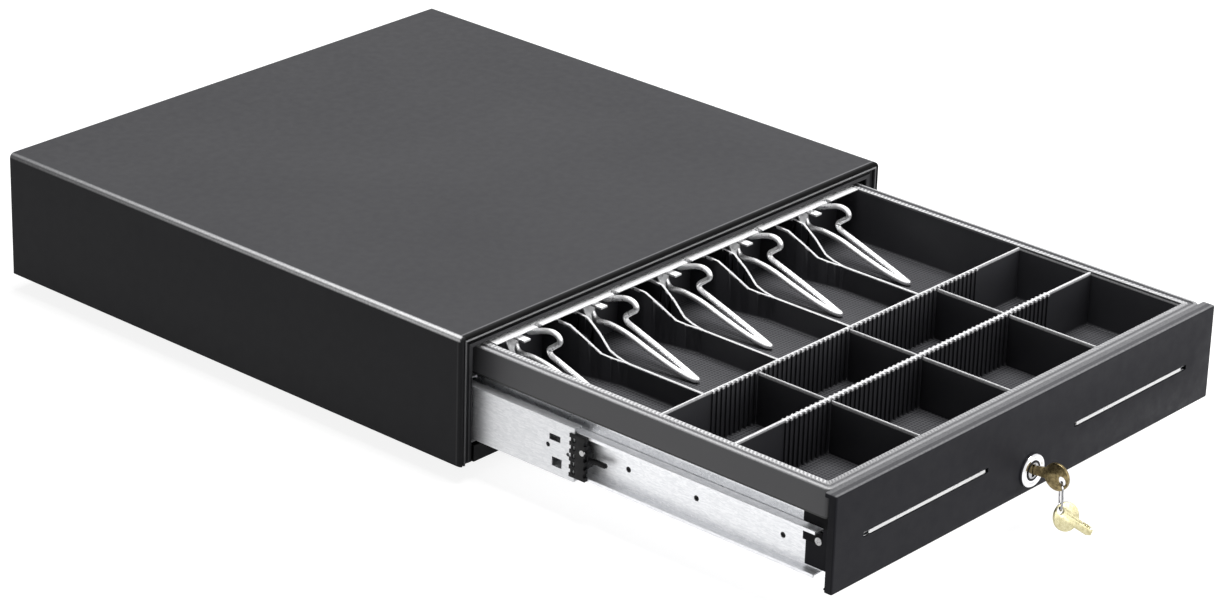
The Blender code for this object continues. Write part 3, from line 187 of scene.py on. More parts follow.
def smooth_row(points, steps):
    """A smooth row through points: on each stretch p(t) is the cubic whose slope at a point is half the way
    from the point before to the point after."""
    points = np.asarray(points, float)
    ends = np.vstack((2 * points[0] - points[1], points, 2 * points[-1] - points[-2]))
    before, start, end, after = ends[:-3, None], ends[1:-2, None], ends[2:-1, None], ends[3:, None]
    t = (np.arange(steps) / steps)[None, :, None]
    pull, push = (end - before) / 2, (after - start) / 2
    bend = 3 * (end - start) - 2 * pull - push
    row = start + t * (pull + t * (bend + t * (2 * (start - end) + pull + push)))
    return np.vstack((row.reshape(-1, points.shape[1]), points[-1]))


def wire_grid(path, radius, sides):
    """Rings round a wire: path point + radius * (cos t * normal + sin t * binormal). Each normal is the one
    before, laid square to the wire again, so the wire doesn't twist."""
    path = np.asarray(path, float)
    ahead = np.gradient(path, axis=0)
    ahead /= np.linalg.norm(ahead, axis=1)[:, None]
    normals = np.empty_like(path)
    guess = np.eye(3)[np.argmin(np.abs(ahead[0]))]
    for station, tangent in enumerate(ahead):
        guess = guess - tangent * guess.dot(tangent)
        guess /= np.linalg.norm(guess)
        normals[station] = guess
    across = np.cross(ahead, normals)
    angle = np.linspace(0, 2 * np.pi, sides, endpoint=False)
    swing = np.cos(angle)[None, :, None] * normals[:, None] + np.sin(angle)[None, :, None] * across[:, None]
    return path[:, None] + radius * swing


def wire(name, path, radius, material, body, node, sides):
    """A capped round wire along a path."""
    grid = wire_grid(path, radius, sides)
    return piece(name, grid, tube_faces(len(path), sides), material, body, node, 40)


def helix(centre, aim, radius, pitch, curls, steps=28):
    """Coil points: radius * (cos t, sin t) round the aim, and pitch * t / (2 pi) along it."""
    t = np.linspace(0, 2 * np.pi * curls, int(steps * curls) + 1)
    row = np.stack((radius * np.cos(t), radius * np.sin(t), pitch * t / (2 * np.pi)), axis=-1)
    return row @ facing(aim).T + np.asarray(centre, float)


def circle(centre, radius, sides=32, start=0.0, sweep=2 * np.pi):
    """Outline points: centre + radius * (cos t, sin t)."""
    angle = start + sweep * np.arange(sides) / (sides if sweep >= 2 * np.pi else sides - 1)
    return np.stack((centre[0] + radius * np.cos(angle), centre[1] + radius * np.sin(angle)), axis=-1)


def plate(name, loops, low, high, plane, material, body, node=None, soft=0.0002):
    """A flat plate with rounded edges: closed outlines in a plane, from low to high along its normal."""
    axes = ["xyz".index(letter) for letter in plane]
    normal = 3 - sum(axes)
    turn = np.zeros((3, 3))
    turn[axes[0], 0] = turn[axes[1], 1] = 1
    turn[:, 2] = np.cross(turn[:, 0], turn[:, 1])
    data = bpy.data.curves.new(name, "CURVE")
    data.dimensions, data.fill_mode = "2D", "BOTH"
    data.extrude, data.bevel_depth, data.offset = (high - low) / 2 - soft, soft, -soft
    data.bevel_resolution = 2
    for loop in loops:
        spline = data.splines.new("POLY")
        spline.points.add(len(loop) - 1)
        row = np.column_stack((loop, np.zeros(len(loop)), np.ones(len(loop))))
        spline.points.foreach_set("co", row.astype(np.float32).ravel())
        spline.use_cyclic_u = True
    shape = linked(name, data)
    bpy.context.view_layer.update()
    mesh = bpy.data.meshes.new_from_object(shape.evaluated_get(bpy.context.evaluated_depsgraph_get()))
    bpy.data.objects.remove(shape)
    points = np.empty(len(mesh.vertices) * 3)
    mesh.vertices.foreach_get("co", points)
    points = points.reshape(-1, 3) @ turn.T
    points[:, normal] += (low + high) / 2
    faces = [list(face.vertices) for face in mesh.polygons]
    bpy.data.meshes.remove(mesh)
    return piece(name, points, faces, material, body, node, 40)


def slab(name, top, underside, material, body, worn):
    """A solid under a height field: the grid on top, a flat underside, and walls round the edge."""
    rows, columns = top.shape[:2]
    faces = grid_faces(rows, columns).tolist()
    index = np.arange(rows * columns).reshape(rows, columns)
    rim = np.concatenate((index[0, :], index[1:, -1], index[-1, -2::-1], index[-2:0:-1, 0]))
    below = top.reshape(-1, 3)[rim].copy()
    below[:, 2] = underside
    lower = rows * columns + np.arange(len(rim))
    walls = np.stack((rim, lower, np.roll(lower, -1), np.roll(rim, -1)), axis=-1)
    faces += walls.tolist() + [lower.tolist()]
    worn = np.concatenate((worn.ravel(), np.zeros(len(rim))))
    return piece(name, np.vstack((top.reshape(-1, 3), below)), faces, material, body, worn=worn)


def skin(node, material, width, segments=2):
    """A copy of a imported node, merged, with its sharp edges rounded by a width so that they catch the
    light."""
    source = frame["nodes"][node]
    form = bmesh.new()
    form.from_mesh(source.data)
    bmesh.ops.remove_doubles(form, verts=form.verts, dist=MERGE)
    bmesh.ops.dissolve_limit(form, angle_limit=math.radians(FLAT), verts=form.verts, edges=form.edges)
    data = bpy.data.meshes.new(f"{node}_skin")
    form.to_mesh(data)
    form.free()
    made = settle(f"{node}_skin", data, material, source["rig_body"], node)
    if width:
        rounding = made.modifiers.new("edges", "BEVEL")
        rounding.width, rounding.segments, rounding.limit_method = width, segments, "ANGLE"
        rounding.angle_limit = math.radians(SHARP)
        rounding.harden_normals = True


# %% [markdown]
# ## Finishes
# Each finish starts from a Principled shader. Patterns read Object coordinates, so they stay on the piece
# when it moves, and they are in real sizes: a noise scale of 1000 gives grains of about a millimetre.

# %% Material helpers
NOISE_SPAN = (0.3, 0.7)


def add_node(tree, kind, inputs=(), **settings):
    """A new node with its settings, its inputs linked from sockets or set to values."""
    made = tree.nodes.new(kind)
    for key, value in settings.items():
        setattr(made, key, value)
    for socket, value in dict(inputs).items():
        if isinstance(value, bpy.types.NodeSocket):
            tree.links.new(value, made.inputs[socket])
        else:
            made.inputs[socket].default_value = value
    return made


class Finish:
    """A material under way: its nodes and the texture coordinates of the piece."""

    def __init__(self, name, colour, metallic, roughness, specular=0.5):
        self.material = bpy.data.materials.new(name)
        self.material.use_nodes = True
        self.tree = self.material.node_tree
        self.shader = self.tree.nodes["Principled BSDF"]
        self.where = self.node("ShaderNodeTexCoord").outputs["Object"]
        for socket, value in (("Base Color", (*colour, 1)), ("Metallic", metallic), ("Roughness", roughness),
                              ("Specular IOR Level", specular)):
            self.shader.inputs[socket].default_value = value

    def node(self, kind, inputs=(), **settings):
        """A new node of this material."""
        return add_node(self.tree, kind, inputs, **settings)

    def worn(self):
        """The mark that the piece carries."""
        return self.node("ShaderNodeAttribute", attribute_name="worn").outputs["Fac"]

    def axes(self):
        """The object's coordinates one by one."""
        return self.node("ShaderNodeSeparateXYZ", {"Vector": self.where}).outputs

    def stretched(self, scale):
        """The object's coordinates, scaled by a factor along each axis."""
        return self.node("ShaderNodeMapping", {"Vector": self.where, "Scale": scale}).outputs["Vector"]

    def noise(self, scale, detail=3.0, where=None):
        """Cloudy noise from 0 to 1."""
        inputs = {"Vector": where or self.where, "Scale": scale, "Detail": detail}
        return self.node("ShaderNodeTexNoise", inputs).outputs["Fac"]

    def cells(self, scale, feature="F1", where=None, output="Distance"):
        """Distance to the nearest of scattered points, or to the edge between two of them."""
        inputs = {"Vector": where or self.where, "Scale": scale}
        return self.node("ShaderNodeTexVoronoi", inputs, feature=feature).outputs[output]

    def ramp(self, value, low, high, start=0.0, end=1.0):
        """A straight change of value from low and high to start and end."""
        inputs = {"Value": value, "From Min": low, "From Max": high, "To Min": start, "To Max": end}
        return self.node("ShaderNodeMapRange", inputs).outputs["Result"]

    def mix(self, share, first, second):
        """A colour between two colours, or sockets, by a share."""
        first, second = ((*colour, 1) if isinstance(colour, tuple) else colour for colour in (first, second))
        return self.node("ShaderNodeMix", {"Factor": share, 6: first, 7: second}, data_type="RGBA").outputs[2]

    def sum(self, kind, first, second):
        """One sum of two values."""
        return self.node("ShaderNodeMath", {0: first, 1: second}, operation=kind).outputs[0]

    def set(self, socket, value):
        """Links a value to one of the shader's sockets."""
        self.tree.links.new(value, self.shader.inputs[socket])

    def gloss(self, noise, low, high):
        """A roughness that follows noise."""
        self.set("Roughness", self.ramp(noise, *NOISE_SPAN, low, high))

    def bump(self, height, strength, distance):
        """Adds relief on top of what is already there."""
        before = self.shader.inputs["Normal"]
        inputs = {"Height": height, "Strength": strength, "Distance": distance}
        if before.links:
            inputs["Normal"] = before.links[0].from_socket
        self.set("Normal", self.node("ShaderNodeBump", inputs).outputs["Normal"])


# %% [markdown]
# Powder coat is baked plastic powder on steel: black, half matt, with a fine orange peel of about a
# millimetre. Zinc plate is near white and grainy. Its crystals give it a spangle, drawn out along the
# rolling direction. Photographs of the finishes could be laid on, but noise in real sizes needs no
# unwrapping and never repeats.

# %% Powder coat and zinc
# The panel's painted highlight on two top bends, by depth behind the face, and the rise of its painted shade
# along the lower edge.
PANEL_HIGHLIGHTS = ((0.0012, 0.0022, 0.2, 0.07), (0.0042, 0.0052, 0.0, 0.16))
PANEL_SHADE_RISE = (0.0008, 0.0016)
PANEL_EDGE = 0.0007
EDGE_BLEND = 0.0004
# Grey of the powder coat's painted highlight.
HIGHLIGHT_GREY = (0.78, 0.78, 0.79)
# Near black of the powder coat's painted shade.
PAINTED_SHADE_BLACK = (0.001, 0.001, 0.001)


def powder_coat(name, dark, pale, edge_from=None):
    """Black baked powder: orange peel and faint cloudiness, with a painted highlight in grey where the
    piece's mark is above zero and painted shade, near black, where it is below zero. A height is given for
    the panel: above it two bends get a painted highlight, and its lower edge gets painted shade."""
    made = Finish(name, dark, 0.0, 0.5, 0.06)
    worn = made.worn()
    if edge_from:
        _, depth, height = made.axes()
        # Painted highlight on the panel's two top bends.
        bends = [made.ramp(depth, PANEL_LOW.y + near, PANEL_LOW.y + far, *highlight_share)
                 for near, far, *highlight_share in PANEL_HIGHLIGHTS]
        above = made.ramp(height, edge_from, edge_from + EDGE_BLEND)
        worn = made.sum("MAXIMUM", worn, made.sum("MULTIPLY", above, made.sum("MAXIMUM", *bends)))
        # Painted shade along the panel's lower edge.
        painted_shade_edge = made.ramp(height, *(PANEL_LOW.z + rise for rise in PANEL_SHADE_RISE), -1.0, 0.0)
        worn = made.sum("ADD", worn, painted_shade_edge)
    # Painted highlight: grey where the mark is above zero, mottled by noise.
    painted_highlight = made.sum("MULTIPLY", worn, made.ramp(made.noise(800.0, 3.0), 0.35, 0.65, 0.72, 1.0))
    base = made.mix(made.noise(9.0, 4.0), dark, pale)
    # Painted shade: near black where the mark is below zero, in the hem's grooves and along the panel's lower
    # edge.
    base = made.mix(made.sum("MULTIPLY", worn, -1.0), base, PAINTED_SHADE_BLACK)
    made.set("Base Color", made.mix(painted_highlight, base, HIGHLIGHT_GREY))
    made.gloss(made.noise(160.0), 0.44, 0.56)
    made.bump(made.noise(900.0, 2.0), 0.25, 0.00012)
    made.bump(made.noise(3600.0, 1.0), 0.15, 0.00004)
    return made.material


def zinc_plate(name, along=(1, 0.25, 1), bright=1.0, rough=0.5):
    """Zinc-plated sheet: spangled grains, fine drawn lines and slightly uneven gloss."""
    made = Finish(name, (0.75, 0.76, 0.77), 1.0, 0.5)
    where = made.stretched(along)
    grain = made.cells(1300.0, where=where, output="Color")
    fine = made.noise(2600.0, 3.0, where)
    share = made.sum("MULTIPLY", grain, fine)
    dull, pale = (tuple(bright * c for c in colour) for colour in ((0.72, 0.73, 0.75), (0.86, 0.865, 0.88)))
    made.set("Base Color", made.mix(made.ramp(share, 0.05, 0.45), dull, pale))
    made.gloss(made.noise(700.0, 3.0, where), rough - 0.04, rough + 0.04)
    made.bump(made.cells(1300.0, where=where), 0.1, 0.00004)
    made.bump(fine, 0.1, 0.00003)
    return made.material


POWDER = powder_coat("black_powder_coat", (0.036, 0.036, 0.039), (0.048, 0.048, 0.051))
PANEL_POWDER = powder_coat("panel_powder_coat", (0.02, 0.02, 0.024), (0.028, 0.028, 0.033),
                           PANEL_HIGH.z - PANEL_EDGE)
# A darker copy of the powder coat, for the case's base and the panel's tabs: painted shade.
SHADED_POWDER = powder_coat("shaded_powder_coat", (0.006, 0.006, 0.007), (0.01, 0.01, 0.011))
ZINC = zinc_plate("zinc_plate")
DULL_ZINC = zinc_plate("dull_zinc_plate", bright=0.8)
# The pan's zinc is a brighter copy, to make up for the skirt's shade over it: painted light.
BRIGHTENED_PAN_ZINC = zinc_plate("pan_zinc", (1, 0.5, 1), 1.14, 0.3)

# %% [markdown]
# The bright pieces are nickel-plated spring wire and polished chrome. Drawn wire has soft streaks, and a
# much-used lock ring has hair scratches. The keys are nickel silver, which goes from pale yellow to brown as
# it tarnishes. Plain colours would look like paint, so each roughness follows a noise of its own.

# %% Bright metals
def bright_wire(name, metallic=0.6):
    """Nickel-plated wire with soft streaks."""
    made = Finish(name, (0.84, 0.84, 0.85), metallic, 0.22)
    streak = made.noise(260.0, 2.0)
    made.set("Base Color", made.mix(streak, (0.94, 0.94, 0.95), (0.99, 0.99, 0.99)))
    made.gloss(streak, 0.26, 0.34)
    return made.material


def chrome(name, colour=(0.85, 0.85, 0.87)):
    """Polished chrome, or plain bright steel, with hair scratches."""
    made = Finish(name, colour, 1.0, 0.1)
    made.set("Roughness", made.ramp(made.noise(900.0, 5.0), 0.35, 0.75, 0.07, 0.2))
    made.bump(made.cells(260.0, "DISTANCE_TO_EDGE", made.stretched((1, 1, 6))), 0.03, 0.00002)
    return made.material


def nickel_silver(name, fresh, worn):
    """Key metal: a tarnish that follows noise, and fine milling lines across the blade."""
    made = Finish(name, fresh, 1.0, 0.3)
    made.set("Base Color", made.mix(made.ramp(made.noise(420.0, 5.0), 0.35, 0.65), fresh, worn))
    made.gloss(made.noise(1300.0, 3.0), 0.22, 0.42)
    made.bump(made.noise(2600.0, 2.0, made.stretched((1, 0.15, 1))), 0.15, 0.00004)
    return made.material


WIRE = bright_wire("nickel_wire")
RAIL_METAL = bright_wire("nickel_rail", 0.2)
CHROME = chrome("polished_chrome")
RING_STEEL = chrome("ring_steel", (0.28, 0.28, 0.29))
# The plug's steel is darker than the chrome: painted dark reflection.
PLUG_STEEL = chrome("plug_steel", (0.42, 0.42, 0.43))
KEY_METAL = nickel_silver("tarnished_key_metal", (0.33, 0.26, 0.13), (0.15, 0.115, 0.055))
SPARE_METAL = nickel_silver("pale_key_metal", (0.56, 0.52, 0.33), (0.42, 0.38, 0.22))

# %% [markdown]
# The tray is moulded in black plastic with an eroded grain. Where hands and coins have worn it, on the rim
# and along the tops of the walls, it has gone grey and is finely scored; the same grey is also a painted
# highlight along those edges. The pieces mark those places with an attribute named worn, because only the
# shape's own formula knows where its edges are; a mark below zero is painted shade along the skirt's lower
# edge. The floor has a fine moulded lattice, known by its height.

# %% Plastics, rubber and winding
FLOOR_HEIGHT = CASE_LOW.z + 0.0393
LATTICE_PITCH = 0.0026
RIB_SPAN = (0.00022, 0.00045)
LATTICE_SPAN = (FLOOR_HEIGHT + 0.0002, FLOOR_HEIGHT + 0.0005)
# Span and grey of the tray's marks: worn grey together with a painted highlight.
WEAR_AND_HIGHLIGHT_SPAN = (0.95, 0.975)
WEAR_AND_HIGHLIGHT_GREY = (0.66, 0.66, 0.67)
SHADE_BLACK = (0.002, 0.002, 0.002)
RIB_GREY = (0.075, 0.075, 0.08)


def tray_plastic(name, dark, pale, lattice=False, specular=0.3):
    """Black moulded plastic, pale grey where it is marked, which is worn grey together with a painted
    highlight, and near black where the mark is below zero, which is painted shade. The pocket pieces are
    marked on their wall tops only, so there the mark counts from nearly one; they also have a lattice of ribs
    on the floor."""
    made = Finish(name, dark, 0.0, 0.5, specular)
    worn = made.worn()
    if lattice:
        worn = made.ramp(worn, *WEAR_AND_HIGHLIGHT_SPAN)
    # Worn grey and painted highlight where the piece is marked.
    share = made.sum("MULTIPLY", worn, made.ramp(made.noise(900.0, 3.0), 0.35, 0.6, 0.7, 1.0))
    base = made.mix(made.noise(35.0, 3.0), dark, pale)
    # Painted shade: near black where the mark is below zero, along the skirt's lower edge.
    base = made.mix(made.sum("MULTIPLY", worn, -1.0), base, SHADE_BLACK)
    if lattice:
        axes = made.axes()
        ribs = [made.sum("PINGPONG", axes[axis], LATTICE_PITCH / 2) for axis in ("X", "Y")]
        rib = made.ramp(made.sum("MINIMUM", *ribs), *RIB_SPAN, 1.0, 0.0)
        rib = made.sum("MULTIPLY", rib, made.ramp(axes["Z"], *LATTICE_SPAN, 1.0, 0.0))
        base = made.mix(rib, base, RIB_GREY)
        made.bump(rib, 0.5, 0.0003)
    made.set("Base Color", made.mix(share, base, WEAR_AND_HIGHLIGHT_GREY))
    made.set("Roughness", made.ramp(share, 0.0, 1.0, 0.5, 0.38))
    made.bump(made.cells(700.0), 0.2, 0.0001)
    made.bump(made.noise(1500.0, 2.0), 0.15, 0.00006)
    return made.material


def moulded_plastic(name, colour=(0.008, 0.008, 0.009), roughness=0.42):
    """Plain black moulded plastic with a faint grain."""
    made = Finish(name, colour, 0.0, roughness, 0.15)
    dark, pale = (tuple(part * c for c in colour) for part in (0.8, 1.3))
    made.set("Base Color", made.mix(made.noise(90.0), dark, pale))
    made.bump(made.noise(1800.0, 2.0), 0.2, 0.00005)
    return made.material


def rubber(name):
    """Black rubber, dusty in its pores."""
    made = Finish(name, (0.02, 0.02, 0.02), 0.0, 0.85, 0.2)
    dust = made.ramp(made.noise(500.0, 4.0), 0.45, 0.7)
    made.set("Base Color", made.mix(dust, (0.014, 0.014, 0.015), (0.045, 0.044, 0.042)))
    made.bump(made.noise(1200.0, 3.0), 0.4, 0.00012)
    return made.material


def winding_tape(name):
    """Amber tape over enamelled wire: the turns show through as fine rings."""
    made = Finish(name, (0.42, 0.2, 0.05), 0.0, 0.28, 0.5)
    rings = made.node("ShaderNodeTexWave", {"Vector": made.where, "Scale": 320.0, "Distortion": 0.6},
                      wave_type="BANDS", bands_direction="Y").outputs["Fac"]
    made.set("Base Color", made.mix(rings, (0.3, 0.12, 0.03), (0.5, 0.26, 0.07)))
    made.bump(rings, 0.3, 0.0001)
    return made.material


TRAY_PLASTIC = tray_plastic("tray_plastic", (0.017, 0.017, 0.02), (0.028, 0.028, 0.032), True)
RIM_PLASTIC = tray_plastic("tray_rim_plastic", (0.08, 0.08, 0.085), (0.1, 0.1, 0.106), specular=0.55)
DARK_STEEL = moulded_plastic("blackened_steel", (0.03, 0.03, 0.032), 0.3)
BLACK_PLASTIC = moulded_plastic("black_moulded_plastic")
RUBBER = rubber("foot_rubber")
TAPE = winding_tape("winding_tape")

# %% [markdown]
# ## Sheet metal
# The case's base and back, the panel, the pan and the slide members keep the imported shapes. A folded sheet
# has no knife edge, so each one is copied, merged and given edges rounded by a few tenths of a millimetre,
# which draw the light lines that the eye reads as folded steel. A Bevel modifier does this without a new
# mesh.

# %% Sheet metal skins
# The case's base takes the darker powder coat: painted shade.
SHEET_FINISH = {
    "case_base": (SHADED_POWDER, 0.0003), "back_panel": (POWDER, 0.0003),
    "front_panel": (PANEL_POWDER, 0.0003), "drawer_pan": (BRIGHTENED_PAN_ZINC, 0.0003),
    "latch_bracket": (ZINC, 0.0003), "strike": (ZINC, 0.0003), "latch_hook": (ZINC, 0.0004),
    "clip_rail": (RAIL_METAL, 0.00015), "lock_rod": (ZINC, 0.0002), "lock_nut": (ZINC, 0.0004),
}
for word, _ in SIDES:
    for member in ("slide_outer", "slide_middle", "slide_inner"):
        SHEET_FINISH[f"{member}_{word}"] = (DULL_ZINC if member == "slide_middle" else ZINC, 0.00025)
for node, (material, width) in SHEET_FINISH.items():
    skin(node, material, width)
for node in frame["nodes"]:
    if node.startswith(("inner_cage", "outer_cage", "latch_pin", "ejector_guide", "solenoid_plunger")):
        skin(node, WIRE, 0)
    if node.startswith(("microswitch", "jack_socket")):
        skin(node, BLACK_PLASTIC, 0.0003)
print("sheet metal:", len(SHEET_FINISH))

# %% [markdown]
# The cover is one sheet bent over the top and down both sides, with its front edge folded back as a hem. Its
# section, a row of inset from the outside and distance from the front, is swept along the bent outline:
# point = outline inset by the section's first number, at the section's second. Its third number is painted
# light for the finish: above zero a painted highlight, below zero painted shade. Two grooves and a bend,
# darkened and lightened by this painted light, draw the thin dark and light lines round the front of the
# case, which rounding the imported solid's edges couldn't do. The top bends of the cover carry a painted
# highlight as well.

# %% Case cover
SHEET = 0.001
BEND = 0.0036
LEAST_BEND = 0.0004
BEND_STEPS = 13
LEG_HEIGHTS = (0, 0.02, 0.04, 0.06, 0.075)
TOP_STEPS = 5
BESIDE_BEND = 0.0003
COVER_TOP = CASE_HIGH.z - CASE_LOW.z
COVER_HALF = CASE_HIGH.x
COVER_BACK = CASE_HIGH.y - CASE_LOW.y
RETURN = 0.0116
TOP_RETURN = 0.01
# Rows of inset, distance from the front and painted light: above zero a painted highlight, below zero painted
# shade.
COVER_HEM = np.array([
    (0, COVER_BACK, 0), (0, 0.28, 0), (0, 0.14, 0), (0, 0.0046, 0), (0, 0.0042, 0.12), (0, 0.0032, 0.12),
    (0, 0.0028, -0.6), (0.0003, 0.0011, -1), (0.0009, 0.0003, -1), (0.0016, 0, -1), (0.0019, 0.0001, -1),
    (0.002, 0.0018, -1), (0.0028, 0.0018, -1), (0.003, 0.0002, 0.2), (0.0033, 0, 0.42), (0.0043, 0, 0.36),
    (0.0046, 0.0003, 0.1), (0.0048, 0.0022, -1), (0.008, 0.0022, -0.9), (0.0082, 0.0016, 0.06),
    (0.0112, 0.0016, 0.04), (0.0116, 0.002, 0), (0.0116, 0.003, 0), (0.0112, 0.0034, 0), (0.002, 0.0034, 0),
    (0.0012, 0.0044, 0), (SHEET, 0.0072, 0), (SHEET, COVER_BACK, 0)])
# A painted highlight across each top bend of the cover, a double line, brighter at the front than at the
# back.
CORNER_HIGHLIGHT = np.array([0, 0.5, 1, 1, 0.55, 0.35, 0.7, 1, 1, 0.8, 0.5, 0.2, 0])
HEM_SHARE_ON_LEGS = 0.4
EDGE_HIGHLIGHT = 1.2
EDGE_HIGHLIGHT_BACK = 0.25
FLANGE_REACH, FLANGE_IN, FLANGE_BACK = 0.009, 0.0003, 0.0017


def cover_outline(inset):
    """The bent outline at an inset: legs, quarter circles and the top, cut alike at every inset. With it go
    the painted highlight across each corner, a double line, and the share of the way round each corner, 0 on
    the legs to 1 on the top."""
    half, top = COVER_HALF - inset, COVER_TOP - inset * TOP_RETURN / RETURN
    radius = max(BEND - inset, LEAST_BEND)
    angle = np.linspace(0, np.pi / 2, BEND_STEPS)
    right = np.stack((half - radius + radius * np.cos(angle), top - radius + radius * np.sin(angle)), axis=-1)
    leg = [(half, height) for height in (*LEG_HEIGHTS, top - radius - BESIDE_BEND)]
    across = [(x, top) for x in np.linspace(half - radius - BESIDE_BEND, 0, TOP_STEPS)]
    right = np.vstack((leg, right, across))
    corner = np.concatenate((np.zeros(len(leg)), CORNER_HIGHLIGHT, np.zeros(TOP_STEPS)))
    upper = np.concatenate((np.zeros(len(leg)), angle / angle[-1], np.ones(TOP_STEPS)))
    left = right[-2::-1] * np.array([-1, 1])
    return np.vstack((right, left)), *(np.concatenate((row, row[-2::-1])) for row in (corner, upper))


def cover_sweep():
    """The cover's points, outline by outline, and their painted light along the bends and the hem: above zero
    a painted highlight, below zero painted shade. The painted highlight on the bends is brighter towards the
    front."""
    rows, painted_light = [], []
    for inset, y, hem in COVER_HEM:
        outline, corner, upper = cover_outline(inset)
        rows.append(np.column_stack((outline[:, 0], np.full(len(outline), y), outline[:, 1])))
        # The hem's painted light is weaker on the sides.
        hem = hem * (HEM_SHARE_ON_LEGS + (1 - HEM_SHARE_ON_LEGS) * upper)
        # Painted highlight on the outer face of each top bend.
        bend = corner * np.interp(y, [0, COVER_BACK], [EDGE_HIGHLIGHT, EDGE_HIGHLIGHT_BACK]) * (inset == 0)
        painted_light.append(np.where(bend > np.abs(hem), bend, hem))
    return on_case(np.array(rows)), np.array(painted_light)


cover, cover_painted_light = cover_sweep()
cover_faces = tube_faces(cover.shape[1], cover.shape[0])
piece("cover_sheet", cover.transpose(1, 0, 2), cover_faces, POWDER, "case", "case_cover", 40, cover_painted_light.T)
for word, side in SIDES:
    inner, outer = side * (COVER_HALF - FLANGE_REACH), side * (COVER_HALF - FLANGE_IN)
    front = DATUM[1] + FLANGE_BACK
    edge = [(inner, front), (outer, front), (outer, CASE_HIGH.y), (inner, CASE_HIGH.y)]
    flange = plate(f"cover_flange_{word}", [np.array(edge)], CASE_LOW.z, CASE_LOW.z + SHEET, "xy", POWDER,
                   "case")
print("cover:", cover.shape[0], "stations by", cover.shape[1], "points")

# %% [markdown]
# ## The money tray
# The tray is one moulding: five bays for notes behind eight cups for coins. Seen from above it is a height
# field, so each wall, tooth and wedge is a formula for height over the plan, and the tray is the highest of
# them. A wall rises from the floor through a small fillet and ends in a rounded top. Cutting pockets out of
# a block would work too, but here every top and fillet comes out rounded at once.

# %% Tray sizes
INNER_HALF = PAN_HALF - 0.0025
TRAY_FRONT = FACE_Y + 0.0168
TRAY_REAR = PAN_BACK - 0.006
TRAY_LENGTH = TRAY_REAR - TRAY_FRONT
MID_WALL_SHARE, COIN_WALL_SHARE = 0.255, 0.4595
MID_WALL_Y = TRAY_FRONT + MID_WALL_SHARE * TRAY_LENGTH
COIN_WALL_Y = TRAY_FRONT + COIN_WALL_SHARE * TRAY_LENGTH
TRAY_FLOOR = 0.0393
TRAY_UNDERSIDE = 0.0375
RIM_TOP = RIM_HIGH.z - CASE_LOW.z
DECK_UNDER = RIM_TOP - 0.0015
WALL_TOP = 0.0755
CROSS_HALF = 0.0010
TOP_ROUND = 0.0004
FLOOR_FILLET = 0.0016
TOOTH_PITCH = 0.00445
TOOTH_HALF = 0.0009
TOOTH_DEPTH = 0.0011
TOOTH_TOP, TOOTH_ROUND, TOOTH_FILLET = WALL_TOP - 0.0003, 0.0002, 0.0003
TOOTH_CORNER = 0.00018
TEETH_ASIDE = 30
RIBBED_HALF = TEETH_ASIDE * TOOTH_PITCH
SIDE_TOP = DECK_UNDER + 0.0004
BORDER = 0.0012
ROUND_STEPS = np.array([0, 0.15, 0.45, 1.0])
FILLET_STEPS = np.array([0, 0.08, 0.3, 0.62, 1.0])
CROWN_WEAR_AND_HIGHLIGHT = np.array([-0.0012, -0.0005, 0, 0.0001])
SIDE_LINES, CUP_LINES, BAY_LINES = 12, 30, 60
LINE_DIGITS = 7
LINE_SLACK = 1e-9
NEAR_REPEAT = HAIR * 0.8


def wall_height(inside, top, rounding=TOP_ROUND, fillet=FLOOR_FILLET):
    """Height by the distance inside a wall's face: inside, top less the rest of a quarter circle; outside, a
    quarter circle that sinks to the floor."""
    near = np.clip(inside, 0, rounding)
    crown = top - rounding + np.sqrt(np.maximum(rounding ** 2 - (rounding - near) ** 2, 0))
    far = np.clip(-inside, 0, fillet)
    foot = TRAY_FLOOR + fillet - np.sqrt(np.maximum(fillet ** 2 - (fillet - far) ** 2, 0))
    return np.where(inside >= 0, crown, foot)


def lines_at(face, way):
    """Grid lines round a wall's face: its rounded top on the wall's side, its fillet on the other."""
    into = face - way * TOP_ROUND * ROUND_STEPS[::-1]
    out = face + way * (HAIR + FLOOR_FILLET * FILLET_STEPS)
    return np.concatenate((into, out))


def tidy_lines(rows, low, high):
    """Sorted grid lines between two limits, without near repeats."""
    row = np.unique(np.round(np.concatenate([*rows, [low, high]]), LINE_DIGITS))
    row = row[(row >= low - LINE_SLACK) & (row <= high + LINE_SLACK)]
    keep = np.concatenate(([True], np.diff(row) > NEAR_REPEAT))
    return row[keep]


# %% Coin cups
def teeth_inside(x, y, face, way):
    """Distance inside the nearest tooth of a comb that stands on a wall's face."""
    across = TOOTH_HALF - np.abs(np.mod(x, TOOTH_PITCH) - TOOTH_PITCH / 2)
    out = TOOTH_DEPTH - way * (y - face)
    behind = way * (y - face) + TOOTH_DEPTH
    return np.minimum.reduce((across, out, behind, RIBBED_HALF - np.abs(x)))


